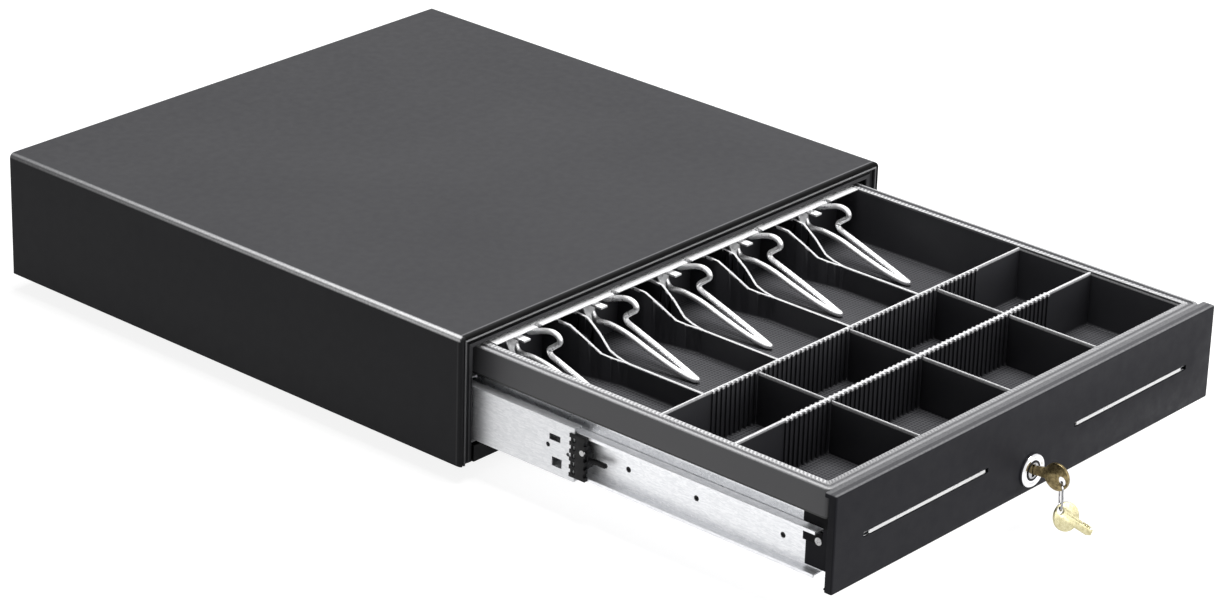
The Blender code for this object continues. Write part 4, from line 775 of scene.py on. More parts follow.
def coin_block():
    """The two rows of coin cups as a height field: z = the highest of side walls, cross walls and comb
    teeth."""
    walls = (MID_WALL_Y, COIN_WALL_Y)
    combs = ((TRAY_FRONT, 1), (MID_WALL_Y - CROSS_HALF, -1), (MID_WALL_Y + CROSS_HALF, 1),
             (COIN_WALL_Y - CROSS_HALF, -1))
    middles = (np.arange(-TEETH_ASIDE, TEETH_ASIDE) + 0.5) * TOOTH_PITCH
    teeth = [middles + side * TOOTH_HALF + off * side for _, side in SIDES for off in (-HAIR, HAIR)]
    teeth += [middles + side * (TOOTH_HALF - TOOTH_CORNER) for _, side in SIDES]
    xs = tidy_lines([lines_at(-INNER_HALF, 1), lines_at(INNER_HALF, -1), *teeth,
                     np.linspace(-INNER_HALF, -RIBBED_HALF, SIDE_LINES),
                     np.linspace(RIBBED_HALF, INNER_HALF, SIDE_LINES)],
                    -INNER_HALF - BORDER, INNER_HALF + BORDER)
    rows = [lines_at(face + out * way, way) for face, way in combs for out in (0, TOOTH_DEPTH)]
    ys = tidy_lines([*rows, np.linspace(TRAY_FRONT, COIN_WALL_Y, CUP_LINES)], TRAY_FRONT - BORDER,
                    COIN_WALL_Y + CROSS_HALF)
    x, y = np.meshgrid(xs, ys)
    heights = [wall_height(inside, SIDE_TOP) for inside in (np.abs(x) - INNER_HALF, TRAY_FRONT - y)]
    heights += [wall_height(CROSS_HALF - np.abs(y - wall), WALL_TOP) for wall in walls]
    heights += [wall_height(teeth_inside(x, y, *comb), TOOTH_TOP, TOOTH_ROUND, TOOTH_FILLET)
                for comb in combs]
    z = np.maximum.reduce(heights)
    # Wall tops: worn grey and painted highlight.
    worn = np.interp(z, WALL_TOP + CROWN_WEAR_AND_HIGHLIGHT, [0, 1, 1, 0])
    return on_case(np.stack((x, y, z), axis=-1)), worn


cups, cups_wear_and_highlight = coin_block()
coins = slab("tray_coin_cups", cups, TRAY_UNDERSIDE + CASE_LOW.z, TRAY_PLASTIC, "drawer", worn=cups_wear_and_highlight)
print("coin cups:", len(coins.data.polygons), "faces")

# %% [markdown]
# Between the note bays stand low walls that swell into wedges at the back, where the clip rail passes over
# them. The grid lines follow the wedge's outline, so its slanting sides stay smooth instead of turning into
# stairs.

# %% Note bays
DIVIDERS = np.array([-0.6, -0.2, 0.2, 0.6]) * INNER_HALF
WEDGE_Y = np.array([-0.064, -0.0615, -0.053, -0.045, -0.034, -0.022, -0.012, 0.0])
WEDGE_HALF = np.array([0.0011, 0.0013, 0.003, 0.0048, 0.0074, 0.0092, 0.0095, 0.0095])
WEDGE_TOP = np.array([0.056, 0.0562, 0.0566, 0.0578, 0.065, 0.0715, 0.072, 0.072])
WEDGE_WALL = 0.0019
POCKET_DEPTH = 0.012
BAYS = np.array([-0.8, -0.4, 0, 0.4, 0.8]) * INNER_HALF
MID_BAY = np.linspace(-0.02, 0.02, 6)


def note_block():
    """The five note bays as a height field over a plan whose columns follow the wedges' outlines."""
    rows = [lines_at(COIN_WALL_Y + CROSS_HALF, 1)[3:], lines_at(TRAY_REAR, -1), TRAY_REAR + WEDGE_Y,
            np.linspace(COIN_WALL_Y, TRAY_REAR, BAY_LINES)]
    ys = tidy_lines(rows, COIN_WALL_Y + CROSS_HALF + HAIR, TRAY_REAR + BORDER)
    half = np.interp(ys - TRAY_REAR, WEDGE_Y, WEDGE_HALF)[:, None]
    top = np.interp(ys - TRAY_REAR, WEDGE_Y, WEDGE_TOP)[:, None]
    into = ROUND_STEPS * TOP_ROUND
    out = HAIR + FLOOR_FILLET * FILLET_STEPS
    pocket = WEDGE_WALL - np.array([-HAIR, 0, *into[1:]])
    offsets = np.concatenate((-pocket, -into[::-1], out))
    fixed = [lines_at(-INNER_HALF, 1), lines_at(INNER_HALF, -1), [-INNER_HALF - BORDER, INNER_HALF + BORDER],
             DIVIDERS, *(bay + MID_BAY for bay in BAYS)]
    columns = [np.tile(np.concatenate(fixed), (len(ys), 1))]
    columns += [middle + side * (half + offsets[None, :]) for middle in DIVIDERS for _, side in SIDES]
    x = np.sort(np.hstack(columns), axis=1)
    y = np.broadcast_to(ys[:, None], x.shape)
    heights = [wall_height(inside, SIDE_TOP) for inside in (np.abs(x) - INNER_HALF, y - TRAY_REAR)]
    worn = np.zeros(x.shape)
    for middle in DIVIDERS:
        aside = np.abs(x - middle)
        depth = np.minimum(half - aside, aside - (half - WEDGE_WALL))
        pocket = aside < half - WEDGE_WALL - HAIR / 2
        height = np.where(pocket, top - POCKET_DEPTH, wall_height(np.minimum(depth, half), top))
        heights.append(height)
        # Wedge tops: worn grey and painted highlight.
        worn = np.maximum(worn, (depth > -HAIR / 2) * (height > top - TOP_ROUND * 0.9))
    z = np.maximum.reduce(heights)
    worn *= z < DECK_UNDER
    return on_case(np.stack((x, y, z), axis=-1)), worn


bays, bays_wear_and_highlight = note_block()
notes = slab("tray_note_bays", bays, TRAY_UNDERSIDE + CASE_LOW.z, TRAY_PLASTIC, "drawer", worn=bays_wear_and_highlight)
print("note bays:", len(notes.data.polygons), "faces")

# %% [markdown]
# The rim carries the tray on the pan and folds over it as a skirt. It is a profile carried round between two
# rounded rectangles: the outer edge of the skirt and the edge of the pockets. A groove runs round its upper
# face, and shallow ribs cross it inside the groove. One profile keeps groove and ribs even round the
# corners, where a bevelled box would pinch them.

# %% Rim and skirt
SKIRT_LOW = 0.057
RIM_SHEET = 0.0015
RIM_EDGE = 0.0012
RIB_PITCH = 0.003
RIB_STEP = 0.0006
RIB_DEPTH = 0.0004
RIB_SHADE = 0.75
SKIRT_CORNER, POCKET_CORNER = 0.0035, 0.0015
LIP_ROUND = 0.0005
GROOVE_DEPTH = 0.0009
# Share of the rim's grey kept at its front edge.
FRONT_GREY_SHARE = 0.45
FRONT_BLEND = 0.004
ARC_POINTS = 9


def matched(left, right, front, back, radius, cuts):
    """A rounded rectangle whose sides and corners are cut into set numbers of stretches, so two of them
    match."""
    rows = []
    corners = ((right - radius, back - radius), (left + radius, back - radius),
               (left + radius, front + radius), (right - radius, front + radius))
    for index, corner in enumerate(corners):
        arc = circle(corner, radius, ARC_POINTS, index * np.pi / 2, np.pi / 2)
        following = circle(corners[(index + 1) % 4], radius, 2, ((index + 1) % 4) * np.pi / 2, np.pi / 2)[0]
        share = np.linspace(0, 1, cuts[index % 2], endpoint=False)[1:, None]
        rows += [arc, arc[-1] + share * (following - arc[-1])]
    return np.vstack(rows)


def rim_piece():
    """The rim and skirt as one closed band: a rounded edge, a groove and a ribbed lip round the pockets.
    Point = outer loop * (1 - share) + inner loop * share + distance * inward, at the section's height less
    the ribs."""
    half = RIM_HIGH.x
    front, back = RIM_LOW.y - CASE_LOW.y, RIM_HIGH.y - CASE_LOW.y
    cuts = (int(2 * half / RIB_STEP), int((back - front) / RIB_STEP))
    outer = matched(-half, half, front, back, SKIRT_CORNER, cuts)
    inner = matched(-INNER_HALF, INNER_HALF, TRAY_FRONT, TRAY_REAR, POCKET_CORNER, cuts)
    bend = np.linspace(0, np.pi / 2, 5)
    drop, groove, lip = RIM_TOP - RIM_EDGE, RIM_TOP - GROOVE_DEPTH, LIP_ROUND
    # The skirt's lowest edge is marked below zero: painted shade where it overhangs the pan.
    # distance, share, height, ribbed, worn
    section = [(0, 0, SKIRT_LOW, 0, -1), (0, 0, SKIRT_LOW + 0.0009, 0, -1), (0, 0, SKIRT_LOW + 0.0014, 0, 0),
               (0, 0, drop - 0.0004, 0, 0), (0, 0, drop, 0, 0.1)]
    section += [(RIM_EDGE * (1 - np.cos(a)), 0, drop + RIM_EDGE * np.sin(a), 0, 0.55) for a in bend[1:]]
    section += [(0, 0.28, RIM_TOP, 0, 0.2), (0.0001, 0.3, groove, 0, 0), (0, 0.55, groove, 0, 0),
                (0.0001, 0.57, RIM_TOP - lip, 0, 0.5), (0.0004, 0.58, RIM_TOP, 1, 1), (0, 0.8, RIM_TOP, 1, 1),
                (-0.0009, 1, RIM_TOP, 1, 1)]
    section += [(-lip * (1 - np.sin(a)), 1, RIM_TOP - lip * (1 - np.cos(a)), 0, 0.8 * np.cos(a))
                for a in bend]
    section += [(0, 1, DECK_UNDER, 0, 0), (RIM_SHEET, 0, DECK_UNDER, 0, 0), (RIM_SHEET, 0, SKIRT_LOW, 0, 0)]
    inward = inner - outer
    inward /= np.linalg.norm(inward, axis=1)[:, None]
    distance, share, height, ribbed, worn = (column[None, :, None] for column in np.array(section).T)
    plan = outer[:, None] * (1 - share) + inner[:, None] * share + distance * inward[:, None]
    way = np.concatenate(([0], np.cumsum(np.linalg.norm(np.diff(outer, axis=0), axis=1))))
    wave = (0.5 + 0.5 * np.cos(2 * np.pi * way / RIB_PITCH))[:, None, None]
    points = np.concatenate((plan, height - ribbed * RIB_DEPTH * wave), axis=-1)
    # The rim's grey is weaker along its front edge.
    front_share = np.interp(outer[:, 1], [front, front + FRONT_BLEND], [FRONT_GREY_SHARE, 1])[:, None, None]
    # Rim edges and ribs: worn grey and painted highlight; the skirt's lower edge: painted shade.
    worn = (worn * (1 - RIB_SHADE * ribbed * wave) * np.where(worn > 0, front_share, 1))[:, :, 0]
    return on_case(np.concatenate((points, points[:1]))), np.concatenate((worn, worn[:1]))


rim, rim_wear_highlight_and_shade = rim_piece()
rim_faces = grid_faces(rim.shape[0], rim.shape[1], wrap=True).tolist()
tray_rim = piece("tray_rim", rim, rim_faces, RIM_PLASTIC, "drawer", "tray", 30, rim_wear_highlight_and_shade)
print("rim:", len(tray_rim.data.polygons), "faces")

# %% [markdown]
# The loose coin dividers are thin plates with a rounded top edge and ends thinned to drop between two teeth.
# One section is repeated along the plate and narrowed towards its ends, so a single grid makes all six.

# %% Coin dividers
DIVIDER_ENDS = np.array([0, 0.0002, 0.0012, 0.0016])
DIVIDER_THIN = [0.5, 0.62, 0.62, 1, 1, 1, 0.62, 0.62, 0.5]
DIVIDER_WAIST = 0.8
DIVIDER_WEAR_AND_HIGHLIGHT = np.array([-0.0016, -0.0009])


def divider(node):
    """A thin plate: the section is an upright with a round top, and its thickness shrinks at both ends."""
    low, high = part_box(node)
    rise = np.linspace(0, np.pi, 9)
    half, top, length = (high.x - low.x) / 2, high.z - low.z, high.y - low.y
    waist = half * DIVIDER_WAIST
    crown = np.stack((-waist * np.cos(rise), top - half + half * np.sin(rise)), axis=-1)
    section = np.vstack(([[-half, 0], [-waist, top - half]], crown, [[half, 0]]))
    ys = np.concatenate((DIVIDER_ENDS, [length / 2], length - DIVIDER_ENDS[::-1]))
    x = (low.x + high.x) / 2 + np.array(DIVIDER_THIN)[:, None] * section[None, :, 0]
    y = np.broadcast_to((low.y + ys)[:, None], x.shape)
    z = np.broadcast_to(low.z + section[None, :, 1], x.shape)
    points = np.stack((x, y, z), axis=-1)
    # Top edge: worn grey and painted highlight.
    worn = np.interp(z, high.z + DIVIDER_WEAR_AND_HIGHLIGHT, [0, 1])
    piece(f"{node}_plate", points, tube_faces(len(ys), len(section)), TRAY_PLASTIC, "drawer", node, 40, worn)


loose = [node for node in sorted(frame["nodes"]) if node.startswith("coin_divider")]
for node in loose:
    divider(node)
print("loose dividers:", len(loose))

# %% [markdown]
# ## The bill clips
# Each clip is one bent spring wire. From the rod it rises, loops back on itself, runs down the bay as a pair
# of legs and closes in a blunt tip that presses on the notes. A small torsion spring sits beside it on the
# rod. A bevelled curve could make such a wire. Here the few bends are listed points, a cubic runs through
# them and rings are laid round it, so that both legs share one formula and the wire never twists.

# %% Clip sizes
ROD_Y = TRAY_REAR - 0.009
ROD_Z = 0.074
LEG_GAP = [(-0.0815, 0.0), (-0.079, 0.0011), (-0.07, 0.0021), (-0.045, 0.0036), (-0.02, 0.00425),
           (0.01, 0.00425)]
CLIP_WIRE = 0.0019
RIGHT_LEG = np.array([(0.0038, 0.0735), (0.0028, 0.0712), (0, 0.07), (-0.0038, 0.0712), (-0.01, 0.0737),
                      (-0.0185, 0.0757), (-0.0245, 0.0743), (-0.0257, 0.0706), (-0.0215, 0.067),
                      (-0.0172, 0.0632), (-0.0185, 0.0598), (-0.025, 0.0576), (-0.042, 0.0524),
                      (-0.0655, 0.0456), (-0.0775, 0.0422)])
CLIP_TIP = (-0.0815, 0.0416)
LEFT_LEG = np.array([(-0.0775, 0.0418), (-0.0645, 0.0446), (-0.045, 0.0506), (-0.027, 0.0563),
                     (-0.012, 0.0585), (-0.0005, 0.0582), (0.0036, 0.0625), (0.0041, 0.068),
                     (0.0038, 0.0725)])
LEG_STEPS = 8
SPRING_ASIDE = 0.0068
SPRING_RADIUS = 0.0029
SPRING_WIRE = 0.0005
SPRING_PITCH = 0.0017
SPRING_CURLS = 5
SPRING_TAIL = 0.0032


# %% Wire clips
def leg(bay, side, row):
    """A leg's points on one side of a bay's middle: x = middle + side * half gap, which closes towards the
    tip. Its row of (along, up) is measured from the rod."""
    along, gap = np.array(LEG_GAP).T
    return np.column_stack((bay + side * np.interp(row[:, 0], along, gap), ROD_Y + row[:, 0], row[:, 1]))


def tailed(row, length):
    """A coil's points with a straight tail on each end, square to the rod."""
    tails = []
    for end, neighbour in ((0, 1), (-1, -2)):
        away = row[end] - row[neighbour]
        away[0] = 0
        tails.append(row[end] + away / np.linalg.norm(away) * length)
    return np.vstack((tails[0], row, tails[1]))


for number, bay in enumerate(BAYS, 1):
    body = f"clip_{number}"
    tip = [[bay, ROD_Y + CLIP_TIP[0], CLIP_TIP[1]]]
    route = smooth_row(np.vstack((leg(bay, 1, RIGHT_LEG), tip, leg(bay, -1, LEFT_LEG))), LEG_STEPS)
    wire(f"clip_wire_{number}", on_case(route), CLIP_WIRE, WIRE, body, f"bill_clip_{number}", 14)
    coil = helix((bay + SPRING_ASIDE, ROD_Y, ROD_Z), (1, 0, 0), SPRING_RADIUS, SPRING_PITCH, SPRING_CURLS)
    wire(f"clip_torsion_spring_{number}", on_case(tailed(coil, SPRING_TAIL)), SPRING_WIRE, WIRE, body,
         f"clip_spring_{number}", 8)
print("clips:", len(BAYS))

# %% [markdown]
# A bright strip covers the rod. A lifted clip swings up through a notch in its front edge, and each spring
# has room in a notch in the back edge. A notch is given by its two sides, from the bay's middle, and its
# end, from the rod. Cutting with Booleans would do, but the notches are part of one flat outline, so it is
# drawn once and extruded.

# %% Notched strip
STRIP_EDGES = (-0.0085, 0.0042)
STRIP_RISE = 0.002
STRIP_SHEET = 0.0008
STRIP_GAP = 0.0008
CLIP_NOTCH = (0.0021, 0.0064, -0.0032)
SPRING_NOTCH = (0.0061, 0.0162, -0.0029)


def notched_strip():
    """The strip's outline: along the front edge with its notches, and back along the other."""
    half = INNER_HALF - STRIP_GAP
    front, back = (ROD_Y + edge for edge in STRIP_EDGES)
    row = [(-half, front)]
    for bay in BAYS:
        near, far, end = bay + CLIP_NOTCH[0], bay + CLIP_NOTCH[1], ROD_Y + CLIP_NOTCH[2]
        row += [(near, front), (near, end), (far, end), (far, front)]
    row += [(half, front), (half, back)]
    for bay in BAYS[::-1]:
        near, far, end = bay + SPRING_NOTCH[0], bay + SPRING_NOTCH[1], ROD_Y + SPRING_NOTCH[2]
        row += [(far, back), (far, end), (near, end), (near, back)]
    return np.array(row + [(-half, back)]) + DATUM[:2]


strip_low = ROD_Z + STRIP_RISE + DATUM[2]
strip = plate("clip_rail_strip", [notched_strip()], strip_low, strip_low + STRIP_SHEET, "xy", RAIL_METAL,
              "drawer", soft=0.00012)
print("strip:", len(strip.data.polygons), "faces")

# %% [markdown]
# ## Lock and keys
# The lock is a chromed barrel whose ring stands proud of the panel. A black ring round the plug fills the gap
# between plug and barrel: painted shade. The plug's steel is darker than the chrome: painted dark reflection.
# Turned profiles are rows of radius and distance behind the panel's face. Carrying a profile round an axis
# gives a lathe's true edges, and small arcs at its corners catch the light as polished chrome does.

# %% Lock
LOCK_Z = 0.027
BARREL_PROFILE = [(0.0066, 0.0245), (0.0092, 0.0245), (0.0092, -0.0003), (0.011, -0.0003), (0.011, -0.002),
                  (0.0102, -0.0032), (0.0085, -0.0032), (0.0079, -0.0024), (0.0066, -0.0024)]
GAP_SHADE_PROFILE = [(0.0052, 0.0008), (0.0067, 0.0008), (0.0067, -0.0026), (0.0062, -0.0029),
                   (0.0056, -0.0029), (0.0052, -0.0027)]


def bent_profile(points, radius=0.0003, steps=4):
    """A profile with its inner corners rounded by small arcs: each corner is a quadratic curve between two
    points a radius away from it."""
    points = np.asarray(points, float)
    rows = [points[:1]]
    t = np.linspace(0, 1, steps)[:, None]
    for before, corner, after in zip(points, points[1:], points[2:]):
        arrive, leave = before - corner, after - corner
        pull = min(radius, np.linalg.norm(arrive) / 2.2, np.linalg.norm(leave) / 2.2)
        start = corner + arrive / np.linalg.norm(arrive) * pull
        end = corner + leave / np.linalg.norm(leave) * pull
        rows.append((1 - t) ** 2 * start + 2 * t * (1 - t) * corner + t ** 2 * end)
    rows.append(points[-1:])
    return np.vstack(rows)


def tall_ring(name, profile, centre, aim, material, body, node=None, sides=64):
    """A turned ring: a closed profile that stays off the axis."""
    grid = turned_grid(np.vstack((profile, profile[:1])), centre, aim, sides)
    return piece(name, grid, tube_faces(len(grid), sides, False), material, body, node, 30)


lock_centre = on_case((0, FACE_Y, LOCK_Z))
barrel = bent_profile(BARREL_PROFILE, 0.0004)
tall_ring("lock_ring_and_barrel", barrel, lock_centre, (0, 1, 0), CHROME, "drawer", "lock_barrel")
# The plug in darker steel: painted dark reflection.
skin("lock_plug", PLUG_STEEL, 0.0003)
# A black ring filling the gap round the plug: painted shade.
gap_shade = tall_ring("lock_gap_shade", GAP_SHADE_PROFILE, lock_centre, (0, 1, 0), BLACK_PLASTIC, "lock")
print("lock ring across, mm:", round(2000 * max(radius for radius, _ in BARREL_PROFILE), 1))

# %% [markdown]
# A key is a round bow with a hole for the split ring, and a blade cut with V notches. The blade of the key
# in the lock lies a little lower than its bow, in line with the plug. A key is stamped from sheet, so one
# flat outline with a hole, extruded and softened, is the nearest way to the real thing.

# %% Key in the lock
KEY_THICK = 0.002
KEY_BOW, KEY_TIP, KEY_HALF = 0.009, 0.0395, 0.0036
NOTCH_SHARES = (0.78, 0.62, 0.46, 0.3)
NOTCH_DEPTH = 0.0015
NOTCH_REACH = (0.0003, 0.0012)
BOW_Y, BOW_Z = -0.02, 0.029
KEY_HOLE = (-0.024, 0.0275)
KEY_HOLE_RADIUS = 0.003
FACE_FOOT = DATUM[1:] + (FACE_Y, 0)


def bow_and_blade(bow, tip, half, notches):
    """A key's outline from the middle of its bow: an arc, then a blade with V cuts along one side."""
    start = math.asin(half / bow)
    head = circle((0, 0), bow, 40, start, 2 * np.pi - 2 * start)
    foot = np.array([(tip - half, -half), (tip, -half / 2), (tip, half / 2), (tip - half / 2, half)])
    near, far = NOTCH_REACH
    cuts = []
    for share in notches:
        along = bow + (tip - bow) * share
        cuts += [(along + far, half), (along + near, half - NOTCH_DEPTH), (along - near, half - NOTCH_DEPTH),
                 (along - far, half)]
    return np.vstack((head, foot, cuts))


outline = bow_and_blade(KEY_BOW, KEY_TIP, KEY_HALF, NOTCH_SHARES)
outline[:, 1] -= (BOW_Z - LOCK_Z) * (outline[:, 0] > KEY_BOW)
outline += FACE_FOOT + (BOW_Y, BOW_Z)
hole = circle(FACE_FOOT + KEY_HOLE, KEY_HOLE_RADIUS)
plate("key_in_lock", [outline, hole], -KEY_THICK / 2, KEY_THICK / 2, "yz", KEY_METAL, "key", "lock_key",
      0.0003)
print("key length, mm:", round(1000 * (KEY_BOW + KEY_TIP), 1))

# %% [markdown]
# The split ring is a wire of nearly two turns, set the way the photograph shows it. The spare key hangs from
# its lowest point and faces the camera. Its outline is made flat, and then turned about its length and moved
# into place, because the same few lines then draw both keys.

# %% The split ring and the spare key
RING_RADIUS = 0.0088
RING_WIRE = 0.0005
RING_TURNS = 1.85
RING_SPREAD = 0.0006
RING_WAY = (0.7535, 0.657)
SPARE_BOW, SPARE_TIP, SPARE_HALF = 0.0092, 0.0218, 0.003
SPARE_AIM = Vector((0.676, -0.433, -0.597)).normalized()
SPARE_FACING = Vector((-0.5, -0.66, 0.45))
SPARE_HOLE = (-0.0059, 0.0012)
SPARE_HOLE_RADIUS = 0.0026
SPARE_DROP = 0.0009

ring_low, ring_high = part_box("key_ring")
ring_middle = (ring_low + ring_high) / 2
turns = np.linspace(0, 2 * np.pi * RING_TURNS, 160)
out, aside = RING_RADIUS * np.cos(turns), RING_SPREAD * (turns / turns[-1] - 0.5)
split_ring = np.column_stack((ring_middle.x + RING_WAY[0] * out - RING_WAY[1] * aside,
                              ring_middle.y + RING_WAY[1] * out + RING_WAY[0] * aside,
                              ring_middle.z + RING_RADIUS * np.sin(turns)))
wire("split_ring", split_ring, RING_WIRE, RING_STEEL, "ring", "key_ring", 10)


def spare_turn():
    """The spare key's own frame: along its blade, across it, and the way its flat faces."""
    normal = (SPARE_FACING - SPARE_AIM * SPARE_FACING.dot(SPARE_AIM)).normalized()
    return Matrix((SPARE_AIM, normal.cross(SPARE_AIM), normal)).transposed()


spare_outline = bow_and_blade(SPARE_BOW, SPARE_TIP, SPARE_HALF, NOTCH_SHARES)
spare = plate("spare_key_plate", [spare_outline, circle(SPARE_HOLE, SPARE_HOLE_RADIUS)], -KEY_THICK / 2,
              KEY_THICK / 2, "xy", SPARE_METAL, "spare", "spare_key", 0.0003)
hang = Vector((ring_middle.x, ring_middle.y, ring_middle.z - RING_RADIUS - SPARE_DROP))
hang -= spare_turn() @ Vector((*SPARE_HOLE, 0))
spare.data.transform(Matrix.Translation(hang) @ spare_turn().to_4x4())
print("spare key's lowest point, mm:", round(1000 * min(point.co.z for point in spare.data.vertices), 2))

# %% [markdown]
# The pan behind the panel is bright zinc. Its edge shows in the two media slots as a thin bright lip: a flat
# outline with round ends just behind the panel's face, which is simpler than bending the pan's own mesh.

# %% Slot lips
SLOT_Z = 0.042
LIP_HALF_HIGH = 0.0012
LIP_ENDS = (0.0475, PANEL_HIGH.x - 0.034)
LIP_FACES = (PANEL_LOW.y + 0.0003, PANEL_LOW.y + 0.0012)
for word, side in SIDES:
    start, end = sorted(side * reach for reach in LIP_ENDS)
    left_end = circle((start, SLOT_Z + DATUM[2]), LIP_HALF_HIGH, 9, np.pi / 2, np.pi)
    right_end = circle((end, SLOT_Z + DATUM[2]), LIP_HALF_HIGH, 9, -np.pi / 2, np.pi)
    lip = plate(f"slot_lip_{word}", [np.vstack((left_end, right_end))], *LIP_FACES, "xz", RAIL_METAL,
                "drawer", soft=0.0003)
print("slot length, mm:", round(1000 * (LIP_ENDS[1] - LIP_ENDS[0]), 1))

# %% [markdown]
# ## Screws, feet and slide bumpers
# Small parts sell the scale. Pan-head screws hold the tabs, the slides and the back. The head is a polar
# grid whose rings are shares of its radius, with more rings where the cross is cut; the last one is folded
# down to the sheet.

# %% Screw head
HEAD_RINGS = np.array([0, 0.12, 0.2, 0.3, 0.42, 0.55, 0.7, 0.85, 0.95, 1.0, 1.0])
HEAD_HEIGHT = 0.55
DOME_REACH = 0.92
ARM_HALF, ARM_SOFT = 0.13, 0.05
ARM_END, ARM_END_SOFT = 0.62, 0.12
PIT_DEPTH = 0.7


def cross_screw(name, centre, aim, radius, body, material=CHROME, height=None):
    """A pan-head screw: height = dome(r) less a cross-shaped pit where the nearer arm's distance is
    small."""
    height = height or radius * HEAD_HEIGHT
    r = HEAD_RINGS[:, None]
    t = np.linspace(0, 2 * np.pi, 64, endpoint=False)[None, :]
    dome = height * np.sqrt(np.clip(1 - (r * DOME_REACH) ** 2, 0, 1))
    arm = np.minimum(np.abs(np.sin(t)), np.abs(np.cos(t))) * r
    pit = np.clip((ARM_HALF - arm) / ARM_SOFT, 0, 1) * np.clip((ARM_END - r) / ARM_END_SOFT, 0, 1)
    lift = dome - pit * height * PIT_DEPTH
    lift[-1] = 0
    points = np.stack(np.broadcast_arrays(radius * r * np.cos(t), radius * r * np.sin(t), lift), axis=-1)
    faces = tube_faces(*points.shape[:2])
    del faces[-2]  # the cap of the first ring, which is one point
    piece(name, points @ facing(aim).T + np.asarray(centre, float), faces, material, body)


# %% [markdown]
# The panel's two tabs lie beside the pan. Thin plates give them their stepped outline, and a screw holds
# each. One list keeps every screw's place, way and head, so a single loop drives them all home.

# %% Tabs and screws
TAB_FACES = (PAN_HALF + 0.0016, PAN_HALF + 0.003)
TAB_PARTS = {
    "riser": np.array([(0.008, 0.0482), (0.0292, 0.0482), (0.0292, 0.0588), (0.0268, 0.0612),
                       (0.008, 0.0612)]),
    "web": np.array([(0.0148, 0.0365), (0.0292, 0.0365), (0.0292, 0.0452), (0.0148, 0.0452)]),
}
SLIDE_Z = 0.0325
TAB_SCREW = (FACE_Y + 0.0174, 0.0388)
SLIDE_SCREWS = (0.045, 0.112, 0.166)
BACK_SCREW_X, BACK_SCREW_Y = 0.19, 0.42
BACK_SCREWS = (0.014, 0.074)
SLIDE_WEB = PAN_HALF + 0.0008
# radius, body, finish and, where it isn't the usual one, height
TAB_HEAD = (0.0025, "drawer", RAIL_METAL, 0.0007)
SLIDE_HEAD = (0.0018, "drawer", DARK_STEEL)
BACK_HEAD = (0.0028, "case", CHROME, 0.0013)
screws = []
for word, side in SIDES:
    for part, outline in TAB_PARTS.items():
        faces = sorted(side * reach for reach in TAB_FACES)
        # The tabs take the darker powder coat: painted shade.
        made = plate(f"tab_{part}_{word}", [outline + FACE_FOOT], *faces, "yz", SHADED_POWDER, "drawer")
    spot = (side * TAB_FACES[1], *TAB_SCREW)
    screws.append((f"tab_screw_{word}", spot, (side, 0, 0), *TAB_HEAD))
    for number, reach in enumerate(SLIDE_SCREWS, 1):
        spot = (side * SLIDE_WEB, FACE_Y + reach, SLIDE_Z)
        screws.append((f"slide_screw_{word}_{number}", spot, (side, 0, 0), *SLIDE_HEAD))
    for number, height in enumerate(BACK_SCREWS, 1):
        spot = (side * BACK_SCREW_X, BACK_SCREW_Y, height)
        screws.append((f"back_screw_{word}_{number}", spot, (0, 1, 0), *BACK_HEAD))
for name, spot, *rest in screws:
    cross_screw(name, on_case(spot), *rest)
print("screws:", len(screws))

# %% [markdown]
# A rubber foot is turned from a profile with a recess for its own screw, because moulded feet are round.

# %% Rubber feet
FOOT_PROFILE = [(0, 0.0042), (0.0034, 0.0042), (0.0036, 0.0006), (0.0046, 0), (0.0072, 0), (0.008, 0.0006),
                (0.0094, 0.0092), (0.0099, 0.0112), (0.0099, 0.0117), (0, 0.0117)]
feet = [node for node in sorted(frame["nodes"]) if node.startswith("foot_")]
for node in feet:
    low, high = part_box(node)
    middle = (low + high) / 2
    turned(f"{node}_rubber", bent_profile(FOOT_PROFILE, 0.0004), (middle.x, middle.y, low.z), (0, 0, 1),
           RUBBER, "case", node)
print("feet:", len(feet))

# %% [markdown]
# The black bumper snaps on the front of the slide's middle member. A guard in front and a grip behind it
# have toothed edges; a rivet and a peg finish it. A plate is given by its reach from the member's end and
# its layer, measured inwards from the slide's outer face. The teeth belong to a flat outline, so they stay
# square, which a displaced surface would round off.

# %% Slide bumpers
SLIDE_X = PAN_HALF + 0.013
MEMBER_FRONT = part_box("slide_middle_left")[0].y
TEETH = 6
TEETH_DEEP = 0.0012
GUARD_RISE = 0.0146
BUMPER_PLATES = (("guard", (-0.0095, -0.0003), (0.0014, 0.0046)),
                 ("grip", (-0.0006, 0.0034), (0.0013, 0.002)))
RIVET = (0.0014, -0.0068, 0.0367)
RIVET_PROFILE = [(0, 0.00012), (0.0015, 0.0001), (0.0019, 0.00002), (0.0019, -0.001), (0, -0.001)]
PEG = (0.0065, -0.0225, 0.0315)
PEG_PROFILE = [(0, 0), (0.0011, 0.0002), (0.0017, 0.0009), (0.0017, 0.0105), (0, 0.0105)]


def toothed(front, back, low, high, depth):
    """A plate's outline whose front and back edges are rows of square teeth."""
    heights = np.repeat(np.linspace(low, high, 2 * TEETH), 2)[1:-1]
    step = np.tile([0, 0, depth, depth], TEETH)[:len(heights)]
    front_edge, back_edge = (np.column_stack((edge, heights)) for edge in (front + step, back - step))
    return np.vstack((front_edge, back_edge[::-1]))


def on_slide(side, spot):
    """A place by its distance in from the slide's outer face, from the member's end, and up from the
    underside."""
    return side * (SLIDE_X - spot[0]), MEMBER_FRONT + spot[1], DATUM[2] + spot[2]


